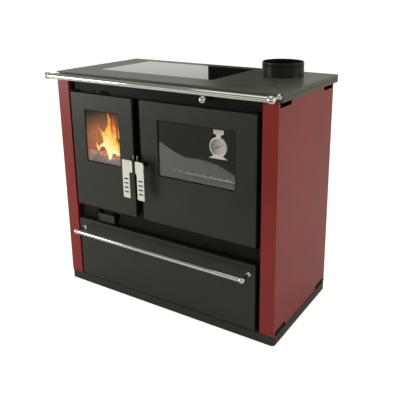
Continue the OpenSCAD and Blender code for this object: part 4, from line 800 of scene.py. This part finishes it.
def makeBricks(look):
    def boards(name, low, high, count, step):
        first = roundedBlock(name, (*low, look["low"]), (*high, look["high"]), look["edge"],
                             [paint["firebrick"]])
        return smoothShade(inRows(first, paint["firebrick"], count, step))

    front, back = look["front"], look["back"]
    deep = (back - front) / look["sideCount"]
    walls = [boards(side + "Boards", (x0, front), (x1, front + deep - look["gap"]), look["sideCount"],
                    (0, deep, 0)) for side, (x0, x1) in look["sides"].items()]
    putOn(smoothShade(joinPieces("sideBricks", walls)), "stove", ("side_bricks",))
    x0, x1 = look["rear"]
    wide = (x1 - x0) / look["rearCount"]
    rear = boards("backBricks", (x0, look["rearFront"]), (x0 + wide - look["gap"], back), look["rearCount"],
                  (wide, 0, 0))
    putOn(rear, "stove", ("back_brick",))


makeBricks(brickwork)

# Pan-head screws with a cross recess hold the back panel, in two columns.
screws = {"head": 4.0, "height": 2.5, "shank": 2.0, "length": 9.0, "recess": 2.3, "cross": 0.55, "deep": 1.1,
          "rows": 4, "columns": 2}


def makeScrews(look):
    low, high = (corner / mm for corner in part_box("casing_screws"))
    r, h = look["head"], look["height"]
    first = Vector((low.x + r, high.y - h, low.z + r))
    last = Vector((high.x - r, high.y - h, high.z - r))
    shape = [(0, -look["length"]), (look["shank"], -look["length"]), (look["shank"], 0), (r - 0.2, 0),
             (r, 0.3), (r - 0.25, 1.2), (r - 1.2, h - 0.3), (r - 2.4, h), (0, h)]
    head = turned("screwHead", shape, first, (0, 1, 0), [paint["zinc_steel"]], 24)
    for turn in (45, 135):
        arm = roundedBlock("recessArm", (-look["recess"], h - look["deep"], -look["cross"]),
                           (look["recess"], h + 1, look["cross"]), 0.1, [], 1)
        arm.data.transform(Matrix.Translation(first * mm) @ Matrix.Rotation(math.radians(turn), 4, "Y"))
        cut = head.modifiers.new("recess", "BOOLEAN")
        cut.operation = "DIFFERENCE"
        cut.object = arm
        cut.solver = "EXACT"
        head = applyModifiers(head)
        bpy.data.objects.remove(arm)
    piece = inRows(head, paint["zinc_steel"], look["rows"], (0, 0, (last.z - first.z) / (look["rows"] - 1)),
                   look["columns"], ((last.x - first.x) / (look["columns"] - 1), 0, 0))
    putOn(smoothShade(piece, 40), "stove", ("casing_screws",))


makeScrews(screws)


# A curve through rings of points in millimetres, made a mesh.
def curveMesh(name, rings, closed, material, **settings):
    data = bpy.data.curves.new(name, "CURVE")
    for setting, value in settings.items():
        setattr(data, setting, value)
    for ring in rings:
        line = data.splines.new("POLY")
        line.points.add(len(ring) - 1)
        for spot, point in zip(line.points, ring):
            spot.co = (*(c * mm for c in point), 1)
        line.use_cyclic_u = closed
    made = applyModifiers(placeObject(name, data))
    made.data.materials.clear()
    made.data.materials.append(material)
    return made


# A flat plate cut to an outline in X and Z, between two depths, edges softened.
def flatPlate(name, outline, holes, front, back, material, edge=0.15):
    rings = [[(x, z, 0) for x, z in ring] for ring in [outline] + holes]
    plate = curveMesh(name, rings, True, material, dimensions="2D", fill_mode="BOTH",
                      extrude=(back - front) / 2 * mm)
    with changing(plate) as work:
        bmesh.ops.remove_doubles(work, verts=work.verts, dist=0.002 * mm)
        bmesh.ops.dissolve_limit(work, angle_limit=math.radians(1), verts=work.verts, edges=work.edges)
        for vertex in work.verts:
            x, z, y = vertex.co
            vertex.co = (x, (front + back) / 2 * mm + y, z)
        bmesh.ops.recalc_face_normals(work, faces=work.faces)
        edges = [e for e in work.edges if len(e.link_faces) == 2 and e.calc_face_angle(0) > math.radians(60)
                 and abs(e.verts[0].co.y - e.verts[1].co.y) < 1e-6]
        roundEdges(work, edges, edge, 1)
    return plate


# Rounds the corners of an outline: (x, z, radius) for each, in millimetres.
def softOutline(corners, steps=6):
    ring = []
    for i, (x, z, radius) in enumerate(corners):
        here = Vector((x, z))
        if radius == 0:
            ring.append((x, z))
            continue
        before = (Vector(corners[i - 1][:2]) - here).normalized()
        after = (Vector(corners[(i + 1) % len(corners)][:2]) - here).normalized()
        half = before.angle(after) / 2
        first, last = here + before * radius / math.tan(half), here + after * radius / math.tan(half)
        centre = here + (before + after).normalized() * radius / math.sin(half)
        for k in range(steps + 1):
            spoke = (first - centre).lerp(last - centre, k / steps).normalized()
            ring.append(tuple(centre + spoke * radius))
    return ring


def softBox(x0, x1, z0, z1, radius, steps=6):
    return softOutline([(x0, z0, radius), (x1, z0, radius), (x1, z1, radius), (x0, z1, radius)], steps)


# Door handles: laser-cut plates with a head that laps over the shaft, four slots in the
# grip, and behind them a black strip whose pads fill the slots as painted shade.
handles = {
    "fire": {"grip": (-122, -91), "body": "fire_handle_body", "node": "fire_handle",
             "corners": [(-122, 432, 5), (-91, 432, 2), (-91, 529, 1), (-77, 529, 2), (-77, 572, 3.5),
                         (-122, 572, 3)]},
    "oven": {"grip": (-58, -27), "body": "oven_handle_body", "node": "oven_handle",
             "corners": [(-58, 432, 5), (-27, 432, 2), (-27, 572, 10), (-64, 572, 3), (-64, 531, 2),
                         (-58, 523, 2)]},
    "front": -279, "back": -275, "slots": 4, "slotWide": 19.5, "slotHigh": 5, "slotTop": 503,
    "slotStep": 16.3, "stripWide": 25, "stripThick": 1.6, "stripMargin": 6, "stripEdge": 0.4,
    "padShort": 0.3, "padFront": -278.4, "padEdge": 0.9,
}


def makeHandle(name, look):
    side = look[name]
    middle = sum(side["grip"]) / 2
    half, high = look["slotWide"] / 2, look["slotHigh"] / 2
    front, back, top = look["front"], look["back"], look["slotTop"]
    heights = [top - i * look["slotStep"] for i in range(look["slots"])]
    holes = [softBox(middle - half, middle + half, z - high, z + high, high - 0.2, 4)[::-1] for z in heights]
    plate = flatPlate(name + "Handle", softOutline(side["corners"]), holes, front, back,
                      paint["handle_steel"], 0.2)
    putOn(smoothShade(plate), side["body"], (side["node"],))
    # The strip and its pads are black painted shade filling the slots.
    wide, margin, fit = look["stripWide"] / 2, look["stripMargin"], look["padShort"]
    strip = roundedBlock(name + "Strip", (middle - wide, back, heights[-1] - margin),
                         (middle + wide, back + look["stripThick"], top + margin), look["stripEdge"],
                         [paint["seal"]])
    pad = roundedBlock(name + "Pads", (middle - half + fit, look["padFront"], top - high + fit),
                       (middle + half - fit, back + 0.5, top + high - fit), look["padEdge"], [paint["seal"]])
    pads = inRows(pad, paint["seal"], look["slots"], (0, 0, -look["slotStep"]))
    putOn(smoothShade(joinPieces(name + "HandleStrip", [strip, pads])), side["body"])


makeHandle("fire", handles)
makeHandle("oven", handles)

# A thin raised black border round the edge of each door pane, as painted shade along the window's inner
# edges.
borders = {"inset": 0.2, "wide": 3.2, "front": -240.6, "back": -239.6, "corner": 3, "innerCorner": 1.5}


def makeBorder(name, x0, x1, z0, z1, body, look):
    def ring(inset, corner):
        return softBox(x0 + inset, x1 - inset, z0 + inset, z1 - inset, corner)
    inner = ring(look["wide"], look["innerCorner"])[::-1]
    piece = flatPlate(name, ring(look["inset"], look["corner"]), [inner], look["front"], look["back"],
                      paint["seal"], 0.2)
    putOn(smoothShade(piece), body)


makeBorder("firePaneBorder", -327, -161, 523, 721, "fire_door", borders)
makeBorder("ovenPaneBorder", 9, 317, 521, 721, "oven_door", borders)
print("handles and borders ready")

# Oven rack: a bent frame wire and fine cross wires whose ends, given as how far out and
# how far down, lap over its rails.
rack = {"frame": 1.9, "cross": 2.0, "rise": 2.2, "z": 502, "x": (-22, 348), "y": (-118, 120), "corner": 14,
        "count": 10, "ends": [(2.2, 3.2), (2.0, 1.0), (0.6, 0.0), (-4.0, 0.0)]}


def wire(name, points, radius, closed, sides):
    return curveMesh(name, [points], closed, paint["wire"], dimensions="3D", bevel_depth=radius * mm,
                     bevel_resolution=sides, use_fill_caps=True)


def roundedLoop(x0, x1, y0, y1, corner, steps=8):
    points = []
    for cx, cy, first in ((x1 - corner, y1 - corner, 0), (x0 + corner, y1 - corner, 90),
                          (x0 + corner, y0 + corner, 180), (x1 - corner, y0 + corner, 270)):
        for i in range(steps + 1):
            a = math.radians(first + 90 * i / steps)
            points.append((cx + corner * math.cos(a), cy + corner * math.sin(a)))
    return points


def makeRack(look):
    (x0, x1), (y0, y1) = look["x"], look["y"]
    loop = [(x, y, look["z"]) for x, y in roundedLoop(x0, x1, y0, y1, look["corner"])]
    frameWire = wire("rackFrame", loop, look["frame"], True, 4)
    step = (x1 - x0) / (look["count"] + 1)
    high = look["z"] + look["frame"] + look["rise"]
    line = ([(x0 + step, y0 - out, high - down) for out, down in look["ends"]]
            + [(x0 + step, y1 + out, high - down) for out, down in look["ends"][::-1]])
    cross = wire("rackCross", line, look["cross"], False, 3)
    cross = inRows(cross, paint["wire"], look["count"], (step, 0, 0))
    piece = smoothShade(joinPieces("ovenRack", [frameWire, cross]), 50)
    putOn(piece, "stove", ("oven_rack",))


makeRack(rack)

# Rope seals follow the door openings and are pressed against the front frame.
ropes = {"radius": 3.7, "strand": 1.75, "strands": 3, "lay": 11.0, "corner": 18, "margin": 0.6, "y": -223.2,
         "spacing": 1.6}


def makeRope(name, node, body, look):
    low, high = (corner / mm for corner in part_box(node))
    inset = look["radius"] + look["margin"]
    loop = roundedLoop(low.x + inset, high.x - inset, low.z + inset, high.z - inset, look["corner"])
    points = [Vector((x, look["y"], z)) * mm for x, z in loop]
    length = sum((points[i] - points[i - 1]).length for i in range(len(points))) / mm
    path = meshObject(name, points, [], [])
    path.data.edges.add(len(points))
    for i, edge in enumerate(path.data.edges):
        edge.vertices = (i, (i + 1) % len(points))
    path.data.update()
    piece = grow(path, trees["rope"], {
        "Strands": look["strands"], "Strand Radius": look["strand"] * mm,
        "Rope Radius": (look["radius"] - look["strand"]) * mm,
        "Turns": float(round(length / look["lay"])), "Spacing": look["spacing"] * mm,
        "Finish": paint["gasket"]})
    putOn(smoothShade(piece, 60), body, (node,))


makeRope("fireDoorRope", "fire_door_gasket", "fire_door", ropes)
makeRope("ovenDoorRope", "oven_door_gasket", "oven_door", ropes)
print("rows and ropes ready")

# Oven thermometer: rolled case, printed scale, hanging plate with an eye, and splayed foot.
thermometer = {
    "at": (248, 658), "case": 33, "dial": 28, "front": -234.7, "back": -228.7,
    "face": {"front": -232.7, "back": -232.0, "radius": 27.85},
    "ticks": {"long": {"count": 10, "half": 0.35, "from": 20.5},
              "short": {"count": 46, "half": 0.22, "from": 22.8},
              "to": 25.0, "thick": 0.06, "edge": 0.03, "firstTurn": -135.0, "sweep": 270},
    "plate": {"front": -229.9, "back": -228.9, "corners": [
        (-8.5, 684, 0), (8.5, 684, 0), (8.5, 697, 2), (19.5, 701, 1), (19.5, 743, 0.5), (-19.5, 743, 0.5),
        (-19.5, 701, 1), (-8.5, 697, 2)]},
    "eye": {"ends": ((7, -90), (-5, 90)), "z": 728, "radius": 3.2, "steps": 8},
    "foot": {"front": -233.2, "back": -229.2, "corners": [
        (-37, 619, 0.4), (37, 619, 0.4), (24, 623.5, 6), (16, 633, 3), (-16, 633, 3), (-24, 623.5, 6)]},
    "can": {"radius": 31, "front": -228.8, "back": -222.5, "edge": 1.5},
    "needle": {"turn": 28, "front": -233.45, "back": -233.05, "outline": [
        (-13.0, -0.9), (-2.2, -1.5), (2.2, -1.7), (21.5, -0.45), (22.2, 0), (21.5, 0.45), (2.2, 1.7),
        (-2.2, 1.5), (-13.0, 0.9)]},
    "hub": {"back": -232.9, "outline": [(0, 0), (2.6, 0), (2.6, 0.7), (1.8, 1.1), (0, 1.1)]},
}


def makeCase(look):
    x, z = look["at"]
    finish = paint["thermo_case"]

    def plate(name, part, holes):
        corners = softOutline([(x + a, b, r) for a, b, r in part["corners"]])
        return flatPlate(name, corners, holes, part["front"], part["back"], finish)

    rim, lip, depth = look["case"], look["dial"], look["back"] - look["front"]
    outline = [
        (0, 0), (rim - 2.0, 0), (rim, 1.2), (rim, depth - 2.2), (rim - 0.7, depth - 0.8),
        (rim - 2.2, depth), (lip + 1.4, depth), (lip + 0.5, depth - 0.5), (lip, depth - 1.4), (lip, 1.6),
        (0, 1.6)]
    case = turned("thermoRing", outline, (x, look["back"], z), (0, -1, 0), [finish], 72)
    eye = look["eye"]
    slot = []
    for shift, first in eye["ends"]:
        for i in range(eye["steps"] + 1):
            a = math.radians(first + 180 * i / eye["steps"])
            slot.append((x + shift + eye["radius"] * math.cos(a), eye["z"] + eye["radius"] * math.sin(a)))
    hanger = plate("thermoPlate", look["plate"], [slot[::-1]])
    foot = plate("thermoFoot", look["foot"], [])
    can = look["can"]
    r, edge, depth = can["radius"], can["edge"], can["back"] - can["front"]
    rear = turned("thermoCan", [(0, 0), (r, 0), (r, depth - edge), (r - edge, depth), (0, depth)],
                  (x, can["front"], z), (0, 1, 0), [finish], 72)
    piece = joinPieces("thermometerCase", [case, hanger, foot, rear])
    putOn(smoothShade(piece), "oven_door", ("thermometer_case",))


def makeDial(look):
    x, z = look["at"]
    face, ticks = look["face"], look["ticks"]
    thick = face["back"] - face["front"]
    disc = turned("dialDisc", [(0, 0), (face["radius"], 0), (face["radius"], thick), (0, thick)],
                  (x, face["back"], z), (0, -1, 0), [paint["dial"]], 64)
    putOn(smoothShade(disc), "oven_door", ("thermometer_dial",))
    rings = []
    for kind in ("long", "short"):
        half, count = ticks[kind]["half"], ticks[kind]["count"]
        tick = roundedBlock(kind + "Tick", (-half, -ticks["thick"], ticks[kind]["from"]),
                            (half, ticks["thick"], ticks["to"]), ticks["edge"], [paint["needle"]], 1)
        rings.append(grow(tick, trees["ring"], {
            "Count": count, "Centre": (x * mm, face["front"] * mm, z * mm), "First Turn": ticks["firstTurn"],
            "Turn Step": ticks["sweep"] / (count - 1), "Finish": paint["needle"]}))
    putOn(joinPieces("dialMarks", rings), "oven_door")


def makeNeedle(look):
    x, z = look["at"]
    needle, hub = look["needle"], look["hub"]
    lean = math.radians(needle["turn"])
    tip = [(x + a * math.cos(lean) - b * math.sin(lean), z + a * math.sin(lean) + b * math.cos(lean))
           for a, b in needle["outline"]]
    blade = flatPlate("needleBlade", tip, [], needle["front"], needle["back"], paint["needle"])
    knob = turned("needleHub", hub["outline"], (x, hub["back"], z), (0, -1, 0), [paint["needle"]], 32)
    piece = smoothShade(joinPieces("thermometerNeedle", [blade, knob]))
    putOn(piece, "needle", ("thermometer_needle",))


makeCase(thermometer)
makeDial(thermometer)
makeNeedle(thermometer)
print("thermometer ready")

# The fire: charred logs on the hearth, live embers on the top one, and tongues of burning gas.
fire = {
    "seed": 7,
    # how the skins are lumped: noise per millimetre, and its height in millimetres
    "logSkin": {"rings": 26, "sides": 22, "pinch": 0.86, "split": 0.16, "broad": (0.06, 2.6),
                "fine": (0.22, 1.1)},
    "tongueSkin": {"rings": 34, "sides": 16, "girth": 0.58, "depth": 0.4, "ripple": 0.16, "ripples": 17,
                   "broad": (0.055, 5.0), "fine": (0.16, 1.6)},
    "logs": [
        # one end, other end, radius, all in millimetres
        {"from": (-352, -191, 470), "to": (-150, -189, 470), "radius": 20, "paint": "char"},
        {"from": (-346, -148, 471), "to": (-148, -150, 471), "radius": 20, "paint": "char"},
        {"from": (-350, -172, 506), "to": (-146, -169, 505), "radius": 20, "paint": "ash"},
        {"from": (-338, -92, 471), "to": (-158, -58, 471), "radius": 21, "paint": "char"},
        {"from": (-330, 10, 470), "to": (-170, -8, 470), "radius": 20, "paint": "char"},
    ],
    "tongues": [
        # the line it follows in X and Z, how deep it stands, how wide it is, how far it has cooled
        {"path": [(-270, 520), (-267, 544), (-273, 569), (-268, 602), (-267, 635), (-266, 668), (-268, 712)],
         "y": -180, "wide": 36, "cool": -0.05},
        {"path": [(-256, 545), (-250, 572), (-248, 600), (-245, 638), (-247, 668), (-250, 698)],
         "y": -176, "wide": 32, "cool": 0.15},
        {"path": [(-277, 560), (-284, 590), (-292, 612), (-302, 628), (-319, 643)],
         "y": -182, "wide": 25, "cool": 0.0},
        {"path": [(-276, 596), (-283, 616), (-281, 638), (-274, 660), (-276, 678)],
         "y": -172, "wide": 28, "cool": 0.3},
        {"path": [(-276, 566), (-294, 577), (-309, 570), (-319, 556)],
         "y": -184, "wide": 19, "cool": -0.1},
        {"path": [(-318, 553), (-322, 562), (-326, 574), (-331, 592)],
         "y": -184, "wide": 15, "cool": 0.0},
        {"path": [(-262, 550), (-244, 558), (-228, 562), (-215, 580), (-212, 606)],
         "y": -182, "wide": 25, "cool": -0.05},
        {"path": [(-246, 552), (-232, 550), (-218, 544), (-208, 536)],
         "y": -178, "wide": 20, "cool": -0.05},
        {"path": [(-215, 604), (-215, 622), (-219, 640), (-224, 654)],
         "y": -178, "wide": 20, "cool": 0.1},
        {"path": [(-238, 566), (-234, 584), (-229, 600), (-227, 618)],
         "y": -180, "wide": 24, "cool": 0.2},
        {"path": [(-205, 538), (-200, 566), (-204, 596), (-196, 630), (-199, 660)],
         "y": -172, "wide": 22, "cool": 0.1},
        {"path": [(-186, 530), (-180, 552), (-184, 574), (-176, 598)],
         "y": -176, "wide": 16, "cool": 0.15},
        {"path": [(-250, 500), (-246, 545), (-256, 590), (-248, 632)],
         "y": -80, "wide": 30, "cool": 0.3},
        {"path": [(-205, 498), (-212, 540), (-200, 575), (-206, 612)],
         "y": -60, "wide": 26, "cool": 0.35},
        {"path": [(-225, 496), (-218, 540), (-228, 580), (-222, 606)],
         "y": 0, "wide": 26, "cool": 0.4},
    ],
    "embers": {"count": 80, "x": (-328, -222), "y": (-196, -160), "z": (518, 545), "size": (1.4, 4.0)},
    "bed": {"x": (-355, -141), "y": (-205, 60), "across": 44, "deep": 54, "floor": 449.4, "rise": 7,
            "lumps": (0.07, 11.0)},
    "glow": {"at": (-262, -150, 600), "power": 0.42, "colour": "#ffab70", "radius": 40},
}


def makeLog(name, look, skin, dice):
    start, end = Vector(look["from"]), Vector(look["to"])
    lift = (end - start).normalized()
    out = lift.orthogonal().normalized()
    across = lift.cross(out)
    rings, sides = skin["rings"], skin["sides"]
    (broad, broadHeight), (fine, fineHeight) = skin["broad"], skin["fine"]
    phase = dice.uniform(0, 6)
    points = []
    for j in range(rings + 1):
        t = j / rings
        pinch = min(1.0, skin["pinch"] + 4 * min(t, 1 - t))
        for i in range(sides):
            a = 2 * math.pi * i / sides
            split = 1 - skin["split"] * max(0.0, math.cos(a - phase)) ** 3
            spoke = out * math.cos(a) + across * math.sin(a)
            spot = start.lerp(end, t) + spoke * look["radius"] * pinch * split
            rough = noise.noise(spot * broad) * broadHeight + noise.noise(spot * fine) * fineHeight
            points.append((spot + spoke * rough) * mm)
    return faceOutwards(meshObject(name, points, tubeFaces(rings + 1, sides, True), [paint[look["paint"]]]))


# A point at t, from 0 to 1, on a smooth curve through a list of points.
def curvePoint(path, t):
    spans = len(path) - 1
    i = min(int(t * spans), spans - 1)
    u = t * spans - i
    a, b, c, d = (Vector(path[min(max(k, 0), spans)]) for k in (i - 1, i, i + 1, i + 2))
    return 0.5 * (2 * b + (c - a) * u + (2 * a - 5 * b + 4 * c - d) * u * u
                  + (3 * b - a - 3 * c + d) * u ** 3)


# A smooth shift in three directions. It is made from noise.noise, which gives the same
# values in every run. noise.noise_vector doesn't.
def drift(place):
    fields = ((9.3, -1.5, -7.9), (0, 0, 0), (-2.4, 5.7, 3.1))
    return Vector([noise.noise(place + Vector(apart)) for apart in fields])


def makeTongue(name, look, skin, dice):
    rings, sides = skin["rings"], skin["sides"]
    (broad, broadHeight), (fine, fineHeight) = skin["broad"], skin["fine"]
    phase = dice.uniform(0, 6.28)
    path = look["path"]
    points, places = [], []
    for j in range(rings + 1):
        t = j / rings
        here = curvePoint(path, t)
        ahead = (curvePoint(path, min(1, t + 0.02)) - curvePoint(path, max(0, t - 0.02))).normalized()
        side = Vector((ahead.y, 0, -ahead.x))
        girth = look["wide"] * skin["girth"] * min(1, 0.28 + 2.4 * t) * max(0.0, 1 - t) ** 0.62
        girth *= 1 + skin["ripple"] * math.sin(phase + t * skin["ripples"]) * t
        for i in range(sides):
            a = 2 * math.pi * i / sides
            spot = Vector((here.x, look["y"], here.y)) + side * (girth * math.cos(a))
            spot.y += girth * skin["depth"] * math.sin(a)
            spot += drift(spot * broad) * broadHeight * t + drift(spot * fine) * fineHeight
            points.append(spot * mm)
            places.append((look["cool"] + t, 1 - abs(math.cos(a))))
    piece = meshObject(name, points, tubeFaces(rings + 1, sides, True), [flamePaint])
    layer = piece.data.uv_layers.new(name="along")
    for loop in piece.data.loops:
        layer.data[loop.index].uv = places[loop.vertex_index]
    return faceOutwards(piece)


def makeEmbers(look, dice):
    lumps = []
    squash = Vector((1.0, 0.9, 0.75))
    for i in range(look["count"]):
        centre = Vector([dice.uniform(*look[axis]) for axis in "xyz"])
        size = dice.uniform(*look["size"])
        lump = meshObject("ember%d" % i, [], [], [emberPaint])
        with changing(lump) as work:
            bmesh.ops.create_icosphere(work, subdivisions=2, radius=size * mm)
            for vertex in work.verts:
                spot = vertex.co / mm
                rough = 1 + 0.45 * noise.noise(spot * 0.22 + centre)
                vertex.co = (spot * rough * squash + centre) * mm
        lumps.append(lump)
    return joinPieces("emberLumps", lumps)


# A low heap with a bumpy skin, closed underneath.
def makeBed(name, look, dice):
    (x0, x1), (y0, y1), floorZ = look["x"], look["y"], look["floor"]
    across, deep, (lumps, lumpHeight) = look["across"], look["deep"], look["lumps"]
    wide = across + 1
    points, faces = [], []
    away = Vector((dice.uniform(0, 90), dice.uniform(0, 90), 0))
    for j in range(deep + 1):
        for i in range(wide):
            u, v = i / across, j / deep
            x, y = x0 + (x1 - x0) * u, y0 + (y1 - y0) * v
            edge = min(1.0, 6 * min(u, 1 - u)) * min(1.0, 6 * min(v, 1 - v))
            lump = abs(noise.noise(Vector((x, y, 0)) * lumps + away)) * lumpHeight
            points.append(Vector((x, y, floorZ + edge * (look["rise"] + lump))) * mm)
            if i < across and j < deep:
                a = j * wide + i
                faces.append([a, a + 1, a + wide + 1, a + wide])
    rim = ([i for i in range(wide)] + [(j + 1) * wide - 1 for j in range(1, deep + 1)]
           + [deep * wide + i for i in range(across - 1, -1, -1)]
           + [j * wide for j in range(deep - 1, 0, -1)])
    under = [len(points) + k for k in range(len(rim))]
    points += [Vector((points[index].x, points[index].y, (floorZ - 0.2) * mm)) for index in rim]
    for k in range(len(rim)):
        n = (k + 1) % len(rim)
        faces.append([rim[n], rim[k], under[k], under[n]])
    faces.append(under[::-1])
    return faceOutwards(meshObject(name, points, faces, [emberPaint]))


def makeFire(look):
    dice = random.Random(look["seed"])
    for kind, name in (("char", "splitLogs"), ("ash", "ashenLog")):
        logs = [makeLog("%s%d" % (kind, i), spec, look["logSkin"], dice)
                for i, spec in enumerate(look["logs"]) if spec["paint"] == kind]
        putOn(smoothShade(joinPieces(name, logs), 60), "stove")
    tongues = [makeTongue("tongue%d" % i, spec, look["tongueSkin"], dice)
               for i, spec in enumerate(look["tongues"])]
    gas = joinPieces("flames", tongues)
    gas.data.shade_smooth()
    putOn(gas, "stove")
    putOn(smoothShade(makeEmbers(look["embers"], dice), 70), "stove")
    putOn(smoothShade(makeBed("emberBed", look["bed"], dice), 70), "stove")
    glow = look["glow"]
    lamp = addLamp("fireGlow", "POINT", Vector(glow["at"]) * mm, glow["power"])
    lamp.data.color = toLinear(glow["colour"])[:3]
    lamp.data.shadow_soft_size = glow["radius"] * mm
    lamp.visible_camera = False
    lamp.visible_glossy = False
    lamp.visible_transmission = False


makeFire(fire)
print("fire ready")


# Every CAD node that still shows takes the finish of its slot.
for nodeName, thing in nodes.items():
    material = paint[slotOf[nodeName]]
    if thing.material_slots:
        for place in thing.material_slots:
            place.material = material
    else:
        thing.data.materials.append(material)
print("CAD nodes finished")
